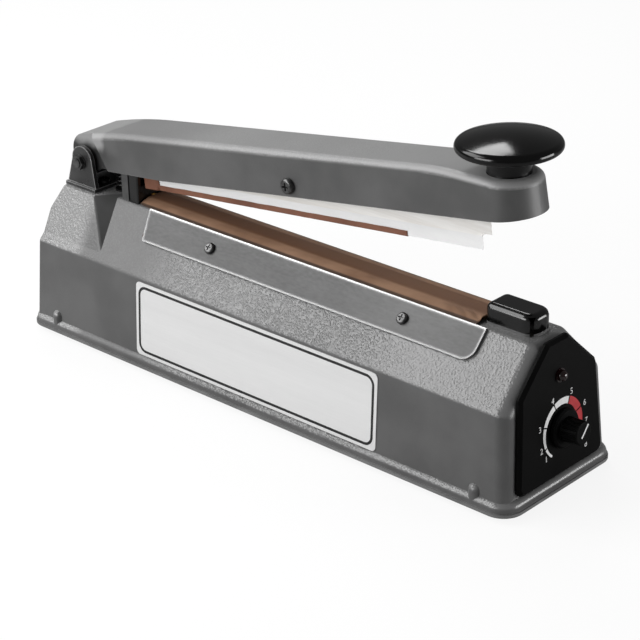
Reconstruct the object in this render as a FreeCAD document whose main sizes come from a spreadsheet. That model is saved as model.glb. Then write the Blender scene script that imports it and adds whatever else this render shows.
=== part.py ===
import FreeCAD, Part
import math
import os
import re

import Sketcher
from FreeCAD import Placement, Rotation, Vector

# Hand impulse heat sealer with a 200 mm jaw. Millimetres and degrees.
# The origin is on the table under the middle of the base: +X runs from the hinge to the control panel,
# +Y to the back and +Z up. The pressing arm is modelled level, about its pivot, and then raised.

DRIVING = {
    # Base casting and its bottom
    "base_length": 320, "base_width": 82, "corner_radius": 10.5,
    "foot_height": 3, "foot_radius": 6, "foot_x": 125, "foot_y": 24,
    "plate_thick": 1.5, "flange_height": 4.5, "flange_inset": 0.8, "flange_round": 3,
    "wall_half": 38.4, "shoulder_half": 35.67, "shoulder_z": 50.1, "ridge_half": 11.75, "roof_z": 75.5,
    "wall_thick": 4, "front_face": 156.5, "front_slope": 0.06, "rear_face": 155.5, "rear_slope": 0.055,
    "end_round": 6, "rear_round": 2, "shoulder_round": 3.5, "ridge_round": 2.5,
    "cavity_rear": 147, "cavity_front": 149,
    "tower_z": 77, "tower_half": 20.7, "tower_flare": 0.4972, "tower_side": 124.7, "tower_lean": 0.7,
    "nose_run": 12, "nose_width": 15, "tower_rear": 147.6, "tower_low_rear": 152.9, "tower_bend_z": 64.5,
    "tower_round": 1.5, "tower_edge_round": 3,
    "boss_x": 139, "boss_y": 36.9, "boss_radius": 3.3, "boss_height": 6.5,
    "gland_z": 25, "gland_end": 169.38, "gland_radius": 9, "gland_collar": 6, "gland_neck": 6,
    "gland_bore": 3.6, "gland_nut_radius": 9, "gland_nut_thick": 3,
    "boss_hole": 1.3, "plate_hole": 1.6, "bracket_hole": 1.75, "terminal_hole": 2.2, "clamp_hole": 1.55,
    # Hinge
    "pivot_x": -136.5, "pivot_z": 91.5, "open_angle": 6.9, "pin_radius": 2.4, "run_gap": 0.06,
    "bush_radius": 3.8, "bush_flange": 0.8, "knuckle_half": 14, "ear_inside": 15.2, "ear_thick": 2.2,
    "ear_rear": -147.6, "ear_front": -125.6, "ear_x": -135.2, "ear_z": 92.8, "ear_radius": 7.3,
    "bracket_thick": 2, "bracket_foot": 1.2, "bracket_screw_x": -130.5, "bracket_screw_y": 7.5,
    "washer_radius": 4.2, "washer_thick": 0.5, "hinge_hexagon": 3.9, "hinge_nut_thick": 1.9, "pin_proud": 0.5,
    # Pressing arm, in its own frame at the pivot
    "arm_end": 266.6, "arm_half_low": 17.2, "arm_half_top": 15, "arm_low": -12, "arm_top": 32,
    "arm_wide_low": 25.3, "arm_wide_top": -0.95, "arm_neck": 1, "arm_heel": -14,
    "arm_top_radius": 157.1644, "arm_rear_radius": 315, "arm_round": 3.5,
    "hollow_rear": 22.6, "hollow_front": 263.6, "hollow_half": 13.4, "hollow_top": 13,
    "knob_x": 267.03, "knob_seat": 23, "knob_tilt": 4.97, "knob_radius": 23.8, "knob_middle": 12.22,
    "knob_upper": 6.4, "knob_lower": 4.3, "knob_upper_rim": 3, "knob_lower_rim": 2.2,
    "stem_radius": 10, "stem_waist": 30, "stem_flare": 2.5, "stem_fillet": 3,
    "stud_radius": 4, "stud_low": -8.5, "stud_high": 13,
    # Seal bar that hangs in the arm
    "rail_rear": 44.2, "rail_front": 261, "rail_half": 7.6, "rail_low": -5.5, "rail_top": 10.5,
    "rail_step": 1.2, "rail_slant": 0.93, "rail_round": 3,
    "rock_x": 148.3, "rock_z": 6.2, "rock_radius": 2, "rock_seat": 16.6,
    "rock_hexagon": 4.05, "rock_nut_thick": 2.6, "spacer_radius": 4,
    "strip_half": 6.8, "strip_low": -12.2, "strip_front": 255, "tongue_half": 2.4, "tongue_top": -2,
    "tape_rear": 36.8, "tape_front": 211, "tape_thick": 0.3, "tape_lip": 2.2,
    "tail_front": 46.6, "tail_half": 7.7, "tail_top": -1.5, "lay_gap": 0.02,
    # Heated jaw
    "bar_rear": -98.5, "bar_front": 117.4, "bar_half": 4, "bar_height": 2, "element_half": 1.5,
    "element_thick": 0.2, "cloth_rear": -99.6, "cloth_front": 118.6,
    "cloth_half": 22, "cloth_thick": 0.3, "cloth_lift": 0.05, "cloth_slope_rear": -90.4,
    "clamp_rear": -90.5, "clamp_front": 125, "clamp_low": 17.8, "clamp_high": 34.77, "clamp_thick": 1.2,
    "clamp_gap": 0.3, "clamp_slant": 5.4, "clamp_rear_corner": 1, "clamp_corner": 6.5,
    "clamp_screw_s": 25.9, "clamp_screw_rear": -41.8, "clamp_screw_front": 81.6,
    "back_drop": 7.5,
    "front_cap_rear": 119.3, "front_cap_front": 146.4, "front_cap_half": 7.9, "front_cap_low": 77,
    "front_cap_top": 85.8, "front_cap_nose": 6.2, "front_cap_heel": 3.4, "front_cap_round": 3.2,
    "rear_cap_rear": -107.2, "rear_cap_front": -100.4, "rear_cap_half": 11.7, "rear_cap_top": 92,
    "rear_cap_round": 1, "cap_wall": 1.2, "cap_slot": 1,
    "terminal_rear": -103.8, "terminal_rear_half": 2.1, "terminal_front": 128, "terminal_front_half": 3.2,
    "terminal_height": 1.8, "post_rear": -112.2, "post_front": -107.5, "post_inside": 8.2, "post_top": 90,
    # Control panel, in its own frame on the leaning end wall
    "panel_low": 6.4, "panel_low_half": 31, "panel_mid": 53.4, "panel_mid_half": 27.8,
    "panel_high": 72.8, "panel_high_half": 7.5, "panel_thick": 2.8, "panel_bevel": 1.6,
    "panel_low_corner": 4.5, "panel_high_corner": 2,
    "dial_u": 1, "dial_v": 29.7, "lamp_v": 55.6, "lamp_radius": 2.7, "lamp_behind": 3.5,
    "collar_width": 0.6, "bulb_radius": 1.7, "bulb_depth": 7, "bulb_length": 6, "bulb_gap": 0.2,
    "case_radius": 8.5, "case_depth": 16.5, "case_length": 9, "neck_length": 12.5,
    "pot_hexagon": 5.8, "pot_nut_thick": 2, "shaft_low": -9.2, "shaft_length": 21,
    "shaft_radius": 3, "neck_radius": 3.5, "skirt_radius": 9.3, "skirt_low": 3.4, "skirt_top": 5.6,
    "grip_radius": 5.6, "grip_top": 14.4, "grip_round": 0.8, "flutes": 16, "flute_radius": 0.6,
    "pointer_angle": 46, "pointer_rear": -2.4, "pointer_half": 0.5, "pointer_depth": 0.4,
    # Switch gear under the arm
    "rod_x": -119, "rod_y": -4, "rod_radius": 2, "rod_low": 56.4, "rod_top": 90, "rod_head": 3.6,
    "rod_tip": 0.7, "tip_length": 1.6, "head_height": 1.2, "crown_radius": 1.5, "crown_height": 0.6,
    "rod_bush": 4, "bush_rim": 4.6, "bush_rim_thick": 0.8, "bush_drop": 5,
    "spring_radius": 3.5, "spring_wire": 0.9, "spring_turns": 4,
    "switch_front": -99, "switch_length": 28, "switch_top": 52, "lever_pivot_x": -101,
    "lever_pivot_z": 52.9, "lever_angle": 9, "lever_length": 21, "lever_half": 2.2, "lever_eye": 0.8,
    # Transformer and timer board on the bottom plate
    "core_x": -35, "core_length": 66, "core_height": 55, "core_depth": 30, "limb": 22, "window": 11,
    "coil_reach": 11, "coil_gap": 0.3, "strap_half": 8, "strap_thick": 1.5, "strap_foot": 14,
    "strap_hole": 2.1, "core_hexagon": 4, "core_nut_thick": 3,
    "board_rear": 76, "board_front": 138, "board_half": 25, "board_z": 14.5, "board_thick": 1.6,
    "post_radius": 2.5, "post_inset": 4, "can_radius": 5, "can_height": 14, "relay_height": 16,
    "fin_height": 22, "fin_thick": 1.5, "block_rear": 50, "block_length": 16, "block_reach": 12, "block_height": 12,
    # Nameplate on the front wall
    "label_left": -78.2, "label_right": 81.4, "label_low": 4.8, "label_high": 43.8, "label_thick": 0.4,
    "label_corner": 2.5,
}

doc = FreeCAD.newDocument("ImpulseSealer")
sheet = doc.addObject("Spreadsheet::Sheet", "dims")
for row, (alias, number) in enumerate(DRIVING.items(), start=1):
    sheet.set(f"A{row}", alias)
    sheet.set(f"B{row}", str(number))
    sheet.setAlias(f"B{row}", alias)
doc.recompute()

nodes = []
BOTTOM = "(foot_height + plate_thick)"
FLANGE_TOP = "(foot_height + plate_thick + flange_height)"
BAR_TOP = "(roof_z + bar_height)"
ROD_HEAD = "(rod_top - head_height - crown_height)"
TERMINALS = ("terminal_rear", "terminal_front")
SLOPE_SCREWS = ("clamp_screw_rear", "clamp_screw_front")
FRONT_CAP = ("front_cap_rear", "front_cap_front", "front_cap_half", "front_cap_top")
FRONT_SLOT = ("front_cap_rear - 1", "front_cap_rear + 2")
SIDES = (-1, 1)
# Pan-head screws: radius and height of the head, radius and length of the shank
BOTTOM_SCREW = (2.6, 1.5, 1.25, 7)
BRACKET_SCREW = (3.4, 2.2, 1.7, 10)
ROCK_SCREW = (3.8, 2.4, 2, 36.2)
TERMINAL_SCREW = (1.9, 1.4, 1, 12)
CLAMP_SCREW = (2.9, 1.8, 1.5, 6)
SWITCH_SCREW = (2.5, 1.6, 1.5, 13)
CORE_SCREW = (3.4, 1.5, 1.9, 7)


def linked(expression):
    """Turn bare dimension names into references to the sheet's cells."""
    def cell(word):
        return "dims." + word.group() if word.group() in DRIVING else word.group()

    return re.sub(r"[a-z_]+", cell, str(expression))


def value(expression):
    return float(sheet.evalExpression(linked(expression)))


def bind(item, **sizes):
    for name, expression in sizes.items():
        item.setExpression(name, linked(expression))
    return item


def place(item, base=("0", "0", "0"), rotation=Rotation()):
    """Give an object its rotation, and bind its position to the sheet."""
    item.Placement = Placement(Vector(), rotation)
    for letter, expression in zip("xyz", base):
        item.setExpression("Placement.Base." + letter, linked(expression))
    return item


def node(item, name):
    """Name a finished sub-part, which names its file too."""
    item.Label = name
    nodes.append(item)
    return item


# Part primitives and booleans

TOWARDS = {
    "x": Rotation(Vector(0, 1, 0), 90),
    "-x": Rotation(Vector(0, 1, 0), -90),
    "y": Rotation(Vector(1, 0, 0), -90),
    "z": Rotation(),
    "-z": Rotation(Vector(1, 0, 0), 180),
}


def block(lows, highs):
    """A box between two corners."""
    item = doc.addObject("Part::Box", "Block")
    sizes = [f"({high}) - ({low})" for low, high in zip(lows, highs)]
    bind(item, Length=sizes[0], Width=sizes[1], Height=sizes[2])
    return place(item, lows)


def rod(radius, length, start, towards="z"):
    item = doc.addObject("Part::Cylinder", "Rod")
    bind(item, Radius=radius, Height=length)
    return place(item, start, TOWARDS[towards])


def cone(radius_low, radius_high, length, start, towards="z"):
    item = doc.addObject("Part::Cone", "Cone")
    bind(item, Radius1=radius_low, Radius2=radius_high, Height=length)
    return place(item, start, TOWARDS[towards])


def ball(radius, centre):
    item = doc.addObject("Part::Sphere", "Ball")
    bind(item, Radius=radius)
    return place(item, centre)


def prism(sides, radius, length, start, towards="z"):
    """A regular prism, such as a hexagon nut; the radius is to its corners."""
    item = doc.addObject("Part::Prism", "Prism")
    item.Polygon = sides
    bind(item, Circumradius=radius, Height=length)
    return place(item, start, TOWARDS[towards])


def fused(*items):
    if len(items) == 1:
        return items[0]
    item = doc.addObject("Part::MultiFuse", "Fusion")
    item.Shapes = list(items)
    return item


def cut(base, *tools):
    item = doc.addObject("Part::Cut", "Cut")
    item.Base = base
    item.Tool = fused(*tools)
    return item


def common(one, other):
    item = doc.addObject("Part::Common", "Common")
    item.Base = one
    item.Tool = other
    return item


def group(items):
    """Separate solids kept together as one sub-part."""
    item = doc.addObject("Part::Compound", "Group")
    item.Links = list(items)
    return item


def rounded(base, radii):
    """Round the edges that a test picks. Each entry is a test of an edge and a radius from the sheet."""
    doc.recompute()
    chosen = []
    for number, edge in enumerate(base.Shape.Edges, start=1):
        for test, radius in radii:
            if test(edge):
                chosen.append((number, value(radius), value(radius)))
                break
    item = doc.addObject("Part::Fillet", "Rounded")
    item.Base = base
    item.Edges = chosen
    return item


def middle(edge):
    return edge.valueAt(0.5 * (edge.FirstParameter + edge.LastParameter))


def is_circle_at(axis, level):
    """A test for round edges that lie at one level along an axis."""
    def test(edge):
        box = edge.BoundBox
        ends = (getattr(box, axis + "Min"), getattr(box, axis + "Max"))
        flat = all(abs(end - level) < 0.01 for end in ends)
        return flat and edge.Curve.TypeId == "Part::GeomCircle"
    return test


# Bodies with sketches

def new_body(name):
    return doc.addObject("PartDesign::Body", name)


def plane(body, role):
    return next(feature for feature in body.Origin.OriginFeatures if feature.Role == role)


def arc_centre(start, end, radius, bulge):
    """Centre of the minor arc between two points; bulge is +1 where the arc runs counter-clockwise."""
    chord = end - start
    rise = math.sqrt(max(radius ** 2 - (chord.Length / 2) ** 2, 0))
    across = Vector(-chord.y, chord.x, 0).normalize()
    return (start + end) * 0.5 + across * rise * bulge


def outline(body, name, role, points, offset="0"):
    """A closed sketch. A point is (x, y), or (x, y, radius, bulge) where an arc leaves it."""
    sketch = body.newObject("Sketcher::SketchObject", name)
    sketch.AttachmentSupport = [(plane(body, role), "")]
    sketch.MapMode = "FlatFace"
    sketch.setExpression("AttachmentOffset.Base.z", linked(offset))
    spots = [Vector(value(point[0]), value(point[1]), 0) for point in points]
    ends = []
    for number, point in enumerate(points):
        start, end = spots[number], spots[(number + 1) % len(spots)]
        if len(point) == 2:
            sketch.addGeometry(Part.LineSegment(start, end), False)
            ends.append((1, 2))
            continue
        bulge = point[3]
        centre = arc_centre(start, end, value(point[2]), bulge)
        first, last = (start, end) if bulge > 0 else (end, start)
        angles = [math.atan2(spot.y - centre.y, spot.x - centre.x) for spot in (first, last)]
        circle = Part.Circle(centre, Vector(0, 0, 1), value(point[2]))
        sketch.addGeometry(Part.ArcOfCircle(circle, *angles), False)
        ends.append((1, 2) if bulge > 0 else (2, 1))
    for number, point in enumerate(points):
        following = (number + 1) % len(points)
        begin, finish = ends[number]
        joined = Sketcher.Constraint("Coincident", number, finish, following, ends[following][0])
        sketch.addConstraint(joined)
        for letter, expression, spot in zip("XY", point[:2], (spots[number].x, spots[number].y)):
            label = f"{letter.lower()}_{number}"
            index = sketch.addConstraint(Sketcher.Constraint("Distance" + letter, number, begin, spot))
            sketch.renameConstraint(index, label)
            sketch.setExpression("Constraints." + label, linked(expression))
        if len(point) > 2:
            label = f"radius_{number}"
            index = sketch.addConstraint(Sketcher.Constraint("Radius", number, value(point[2])))
            sketch.renameConstraint(index, label)
            sketch.setExpression("Constraints." + label, linked(point[2]))
    return sketch


def mirrored(points):
    """Complete a half outline, given bottom to top on the right, with its left half."""
    return points + [("-(" + x + ")", y) for x, y in reversed(points)]


def pad(body, sketch, length, both_ways=False):
    feature = body.newObject("PartDesign::Pad", "Pad")
    feature.Profile = sketch
    feature.Midplane = both_ways
    bind(feature, Length=length)
    return feature


def loft(body, first, *others):
    feature = body.newObject("PartDesign::AdditiveLoft", "Loft")
    feature.Profile = first
    feature.Sections = list(others)
    feature.Ruled = True
    return feature


def revolve(body, sketch, axis):
    feature = body.newObject("PartDesign::Revolution", "Revolution")
    feature.Profile = sketch
    feature.ReferenceAxis = (plane(body, axis), [""])
    feature.Angle = 360
    return feature


def fillet(body, feature, radius, test):
    doc.recompute()
    names = [f"Edge{number}" for number, edge in enumerate(feature.Shape.Edges, start=1) if test(edge)]
    item = body.newObject("PartDesign::Fillet", "Fillet")
    item.Base = (feature, names)
    return bind(item, Radius=radius)


def chamfer(body, feature, size, test):
    doc.recompute()
    names = [f"Edge{number}" for number, edge in enumerate(feature.Shape.Edges, start=1) if test(edge)]
    item = body.newObject("PartDesign::Chamfer", "Chamfer")
    item.Base = (feature, names)
    return bind(item, Size=size)


def is_upright(edge):
    box = edge.BoundBox
    return box.XLength < 0.01 and box.YLength < 0.01


# Frames that several sub-parts are built in

def to_arm(item):
    return place(item, ("pivot_x", "0", "pivot_z"), Rotation(Vector(0, 1, 0), -value("open_angle")))


def to_panel(item):
    lean = math.atan(value("front_slope"))
    across, up = Vector(0, 1, 0), Vector(-math.sin(lean), 0, math.cos(lean))
    return place(item, ("front_face", "0", "foot_height"), Rotation(across, up, across.cross(up), "XYZ"))


def to_slope(item, side):
    """Side is -1 for the front roof slope and +1 for the back one; local Y runs up the slope."""
    along = Vector(-side, 0, 0)
    up = Vector(0, -side * value("shoulder_half - ridge_half"), value("roof_z - shoulder_z")).normalize()
    base = ("0", f"{side} * shoulder_half", "shoulder_z")
    return place(item, base, Rotation(along, up, along.cross(up), "XYZ"))


def to_front_wall(item):
    along = Vector(1, 0, 0)
    up = Vector(0, value("wall_half - shoulder_half"), value("shoulder_z - " + BOTTOM))
    up.normalize()
    return place(item, ("0", "-wall_half", BOTTOM), Rotation(along, up, along.cross(up), "XYZ"))


# Fasteners

def screw(head, head_height, shank, length, recess=True):
    """A pan-head screw along -Z with the underside of its head at the origin, and a cross recess."""
    body = rod(head, head_height, ("0", "0", "0"))
    top = rounded(body, [(is_circle_at("Z", head_height), str(head_height * 0.6))])
    whole = fused(top, rod(shank, length, ("0", "0", f"-{length}")))
    if not recess:
        return whole
    arm, half = head * 0.55, head * 0.12
    depth = head_height * 0.55
    slots = [block((f"-{x}", f"-{y}", str(head_height - depth)), (str(x), str(y), str(head_height + 1)))
             for x, y in ((arm, half), (half, arm))]
    return cut(whole, *slots)


def moved(item, base, rotation=Rotation()):
    return place(group([item]), base, rotation)


def rectangle(low_x, high_x, low_y, high_y):
    return [(low_x, low_y), (high_x, low_y), (high_x, high_y), (low_x, high_y)]


# Base: casting, bottom plate and what stands on the table

def front_x(z):
    return f"(front_face - front_slope * ({z} - foot_height))"


def rear_x(z):
    return f"(rear_slope * ({z} - foot_height) - rear_face)"


def casting_shell():
    """House-shaped section along X, with both end walls leaning in and every edge rounded."""
    core = new_body("casting_core")
    half = [("wall_half", BOTTOM), ("shoulder_half", "shoulder_z"), ("ridge_half", "roof_z")]
    pad(core, outline(core, "section", "YZ_Plane", mirrored(half)), "base_length", both_ways=True)
    ends = new_body("casting_ends")
    top = "(roof_z + 5)"
    profile = [(rear_x(BOTTOM), BOTTOM), (front_x(BOTTOM), BOTTOM), (front_x(top), top), (rear_x(top), top)]
    pad(ends, outline(ends, "profile", "XZ_Plane", profile), "base_width", both_ways=True)
    long_edge = value("base_length") / 2
    bottom, shoulder, roof = value(BOTTOM), value("shoulder_z"), value("roof_z")

    def on_front(edge):
        return edge.Length < long_edge and middle(edge).z > bottom + 1 and middle(edge).x > 0

    def on_rear(edge):
        return edge.Length < long_edge and middle(edge).z > bottom + 1 and middle(edge).x < 0

    def at_shoulder(edge):
        return edge.Length > long_edge and abs(middle(edge).z - shoulder) < 0.1

    def at_ridge(edge):
        return edge.Length > long_edge and abs(middle(edge).z - roof) < 0.1

    return rounded(common(core, ends), [(on_front, "end_round"), (on_rear, "rear_round"),
                                        (at_shoulder, "shoulder_round"), (at_ridge, "ridge_round")])


def casting_flange():
    body = new_body("casting_flange")
    length, width = "(base_length / 2 - flange_inset)", "(base_width / 2 - flange_inset)"
    sketch = outline(body, "plan", "XY_Plane", rectangle("-" + length, length, "-" + width, width), BOTTOM)
    slab = pad(body, sketch, "flange_height")
    slab = fillet(body, slab, "corner_radius - flange_inset", is_upright)
    top = value(FLANGE_TOP)
    fillet(body, slab, "flange_round", lambda edge: edge.BoundBox.ZMin > top - 0.01)
    return body


def tower_plan(body, name, level):
    """Plan of the hinge's seat at one level: its sides and its oblique nose spread on the way down."""
    drop = f"(tower_z - {level})"
    half, side = f"(tower_half + tower_flare * {drop})", f"(tower_lean * {drop} - tower_side)"
    right = [("-tower_low_rear", half), (side, half), (f"{side} + nose_run", f"{half} - nose_width")]
    left = [(x, f"-({y})") for x, y in reversed(right)]
    return outline(body, name, "XY_Plane", right + left, level)


def hinge_tower():
    """The raised seat of the hinge, with an oblique face on each side of its nose and a bent rear face."""
    body = new_body("hinge_tower")
    foot = "(shoulder_z - 2)"
    loft(body, tower_plan(body, "high", "tower_z"), tower_plan(body, "low", foot))
    ends = new_body("tower_ends")
    profile = [("-tower_low_rear", foot), ("-60", foot), ("-60", "tower_z"), ("-tower_rear", "tower_z"),
               ("-tower_low_rear", "tower_bend_z")]
    pad(ends, outline(ends, "profile", "XZ_Plane", profile), "base_width", both_ways=True)
    top, rear, low = value("tower_z"), -value("tower_rear"), value(foot)

    def on_top(edge):
        return edge.BoundBox.ZMin > top - 0.01

    def at_rear(edge):
        return middle(edge).x < rear and edge.BoundBox.ZLength > 5

    def on_nose(edge):
        box = edge.BoundBox
        return box.ZMin < low + 0.01 and box.ZMax > top - 0.01

    return rounded(common(body, ends), [(on_top, "tower_round"), (at_rear, "rear_round"),
                                        (on_nose, "tower_edge_round")])


def corner_spots(x, y):
    return [(f"{side_x} * {x}", f"{side_y} * {y}") for side_x in (-1, 1) for side_y in (-1, 1)]


def slope_spot(side, distance):
    """Distance up a roof slope; what is on the back slope sits lower than on the front one."""
    return distance if side < 0 else f"({distance} - back_drop)"


def clamp_spots(side):
    """Where the clamp plate's screws sit on a roof slope."""
    return [(f"{-side} * {x}", slope_spot(side, "clamp_screw_s")) for x in SLOPE_SCREWS]


def base_casting():
    bosses = []
    for x, y in corner_spots("boss_x", "boss_y"):
        bosses += [rod("boss_radius", "boss_height", (x, y, BOTTOM)),
                   ball("boss_radius", (x, y, f"{BOTTOM} + boss_height"))]
    solid = fused(casting_shell(), casting_flange(), hinge_tower(), front_cap_rim(), *bosses)
    cavity = new_body("casting_cavity")
    half = [("wall_half - wall_thick", f"{BOTTOM} - 1"), ("shoulder_half - wall_thick", "shoulder_z - 1.5"),
            ("ridge_half - 2.5", "roof_z - 3.5")]
    pad(cavity, outline(cavity, "section", "YZ_Plane", mirrored(half), "-cavity_rear"),
        "cavity_rear + cavity_front")
    holes = [rod("rod_bush + 0.05", "20", ("rod_x", "rod_y", "roof_z - 12")),
             rod("gland_neck + 0.1", "20", ("-165", "0", "gland_z"), "x")]
    holes += [rod("boss_hole", "boss_height + 1.5", (x, y, f"{BOTTOM} - 1"))
              for x, y in corner_spots("boss_x", "boss_y")]
    holes += [rod("bracket_hole", "20", ("bracket_screw_x", f"{side} * bracket_screw_y", "tower_z - 15"))
              for side in SIDES]
    holes += [rod("terminal_hole", "12", (x, "0", "roof_z - 10")) for x in TERMINALS]
    for side in SIDES:
        spots = [rod("clamp_hole", "7", (x, y, "-6.5")) for x, y in clamp_spots(side)]
        holes.append(to_slope(group(spots), side))
    panel_holes = [rod("neck_radius + 0.1", "14", ("dial_u", "dial_v", "-12")),
                   rod("lamp_radius + 0.1", "14", ("0", "lamp_v", "-12"))]
    holes.append(to_panel(group(panel_holes)))
    node(cut(solid, cavity, *holes), "base_casting")


def bottom_plate():
    body = new_body("bottom_sheet")
    length, width = "(base_length / 2)", "(base_width / 2)"
    plan = rectangle("-" + length, length, "-" + width, width)
    sketch = outline(body, "plan", "XY_Plane", plan, "foot_height")
    fillet(body, pad(body, sketch, "plate_thick"), "corner_radius", is_upright)
    holes = [rod("plate_hole", "plate_thick + 2", (x, y, "foot_height - 1"))
             for x, y in corner_spots("boss_x", "boss_y")]
    holes += [rod("strap_hole", "plate_thick + 2", (x, y, "foot_height - 1")) for x, y in transformer_feet()]
    node(cut(body, *holes), "bottom_plate")
    screws = []
    for x, y in corner_spots("boss_x", "boss_y"):
        screws.append(moved(screw(*BOTTOM_SCREW), (x, y, "foot_height"), TOWARDS["-z"]))
    node(group(screws), "bottom_plate_screws")
    feet = []
    for x, y in corner_spots("foot_x", "foot_y"):
        feet.append(cone("foot_radius - 0.8", "foot_radius", "foot_height", (x, y, "0")))
    node(group(feet), "rubber_feet")


def cable_gland():
    """Strain relief of the mains lead in the rear wall: neck through the wall, ribbed collar outside."""
    start = "(rear_face - rear_slope * (gland_z - gland_radius - foot_height) + 0.1)"
    collar = fused(rod("gland_radius", "gland_collar", (f"-{start}", "0", "gland_z"), "-x"),
                   cone("gland_radius - 1", "gland_radius - 3", f"gland_end - {start} - gland_collar",
                        (f"-{start} - gland_collar", "0", "gland_z"), "-x"),
                   rod("gland_neck", f"{start} - cavity_rear + 3", (f"-{start}", "0", "gland_z"), "x"))
    bore = rod("gland_bore", "40", ("-gland_end - 5", "0", "gland_z"), "x")
    node(cut(collar, bore), "cable_gland")
    nut = prism(6, "gland_nut_radius", "gland_nut_thick", ("-cavity_rear + 0.2", "0", "gland_z"), "x")
    node(cut(nut, rod("gland_neck + 0.05", "10", ("-cavity_rear - 2", "0", "gland_z"), "x")), "gland_nut")


def nameplate():
    body = new_body("nameplate_body")
    plan = rectangle("label_left", "label_right", "label_low", "label_high")
    slab = pad(body, outline(body, "plan", "XY_Plane", plan), "label_thick")
    fillet(body, slab, "label_corner", is_upright)
    node(to_front_wall(body), "nameplate")


# Control panel on the front end wall

def control_panel():
    body = new_body("panel_body")
    half = [(f"panel_{level}_half", f"panel_{level}") for level in ("low", "mid", "high")]
    slab = pad(body, outline(body, "plan", "XY_Plane", mirrored(half)), "panel_thick")
    low = value("panel_mid") - 5
    slab = fillet(body, slab, "panel_low_corner", lambda edge: is_upright(edge) and middle(edge).y < low)
    slab = fillet(body, slab, "panel_high_corner", lambda edge: is_upright(edge) and middle(edge).y > low)
    chamfer(body, slab, "panel_bevel", lambda edge: edge.BoundBox.ZMin > value("panel_thick") - 0.01)
    holes = [rod("neck_radius + 0.1", "panel_thick + 2", ("dial_u", "dial_v", "-1")),
             rod("lamp_radius + 0.1", "panel_thick + 2", ("0", "lamp_v", "-1"))]
    node(to_panel(cut(body, *holes)), "control_panel")


def timer_control():
    """Potentiometer behind the wall, its nut outside, and the skirted knob on its shaft."""
    case = rod("case_radius", "case_length", ("dial_u", "dial_v", "-case_depth"))
    neck = rod("neck_radius", "neck_length", ("dial_u", "dial_v", "case_length - case_depth"))
    through = rod("shaft_radius + run_gap", "20", ("dial_u", "dial_v", "shaft_low - 0.3"))
    node(to_panel(cut(fused(case, neck), through)), "potentiometer")
    nut = cut(prism(6, "pot_hexagon", "pot_nut_thick", ("dial_u", "dial_v", "panel_thick")),
              rod("neck_radius + 0.05", "6", ("dial_u", "dial_v", "panel_thick - 2")))
    node(to_panel(nut), "potentiometer_nut")
    shaft = rod("shaft_radius", "shaft_length", ("dial_u", "dial_v", "shaft_low"))
    node(to_panel(group([shaft])), "potentiometer_shaft")
    body = new_body("timer_knob_body")
    bore = "(shaft_radius + 0.05)"
    profile = [(bore, "6.3"), ("7", "4.9"), ("7", "skirt_low"), ("skirt_radius", "skirt_low"),
               ("skirt_radius", "skirt_top - 0.8"), ("skirt_radius - 0.8", "skirt_top"),
               ("grip_radius + 0.4", "skirt_top"), ("grip_radius", "grip_top - grip_round", "grip_round", 1),
               ("grip_radius - grip_round", "grip_top"), ("0", "grip_top"), ("0", "12.2"), (bore, "12.2")]
    revolve(body, outline(body, "profile", "XZ_Plane", profile), "Z_Axis")
    flutes = []
    count = int(value("flutes"))
    for number in range(count):
        turn = 2 * math.pi * (number + 0.5) / count
        x, y = (f"(grip_radius + 0.25) * {round(wave(turn), 6)}" for wave in (math.cos, math.sin))
        flutes.append(rod("flute_radius", "grip_top", (x, y, "skirt_top + 0.8")))
    turned = Rotation(Vector(0, 0, 1), value("pointer_angle"))
    floor = "(grip_top - pointer_depth)"
    slot = block(("pointer_rear", "-pointer_half", floor),
                 ("grip_radius + 1", "pointer_half", "grip_top + 1"))
    knob = place(group([cut(body, slot, *flutes)]), ("dial_u", "dial_v", "0"), turned)
    node(to_panel(group([knob])), "timer_knob")
    line = block(("pointer_rear + lay_gap", "-pointer_half + lay_gap", floor),
                 ("grip_radius - grip_round", "pointer_half - lay_gap", "grip_top + 0.1"))
    pointer = place(group([line]), ("dial_u", "dial_v", "0"), turned)
    node(to_panel(group([pointer])), "timer_pointer")


def indicator_lamp():
    lens = fused(rod("lamp_radius", "panel_thick + lamp_behind + 1", ("0", "lamp_v", "-lamp_behind")),
                 ball("lamp_radius", ("0", "lamp_v", "panel_thick + 1")))
    collar = rod("lamp_radius + collar_width", "collar_width", ("0", "lamp_v", "panel_thick"))
    bulb_room = rod("bulb_radius + bulb_gap", "10", ("0", "lamp_v", "-bulb_depth - 1.5"))
    node(to_panel(cut(fused(lens, collar), bulb_room)), "indicator_lens")
    bulb = fused(rod("bulb_radius", "bulb_length", ("0", "lamp_v", "-bulb_depth")),
                 ball("bulb_radius", ("0", "lamp_v", "bulb_length - bulb_depth")))
    node(to_panel(group([bulb])), "neon_bulb")


# Hinge

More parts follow.
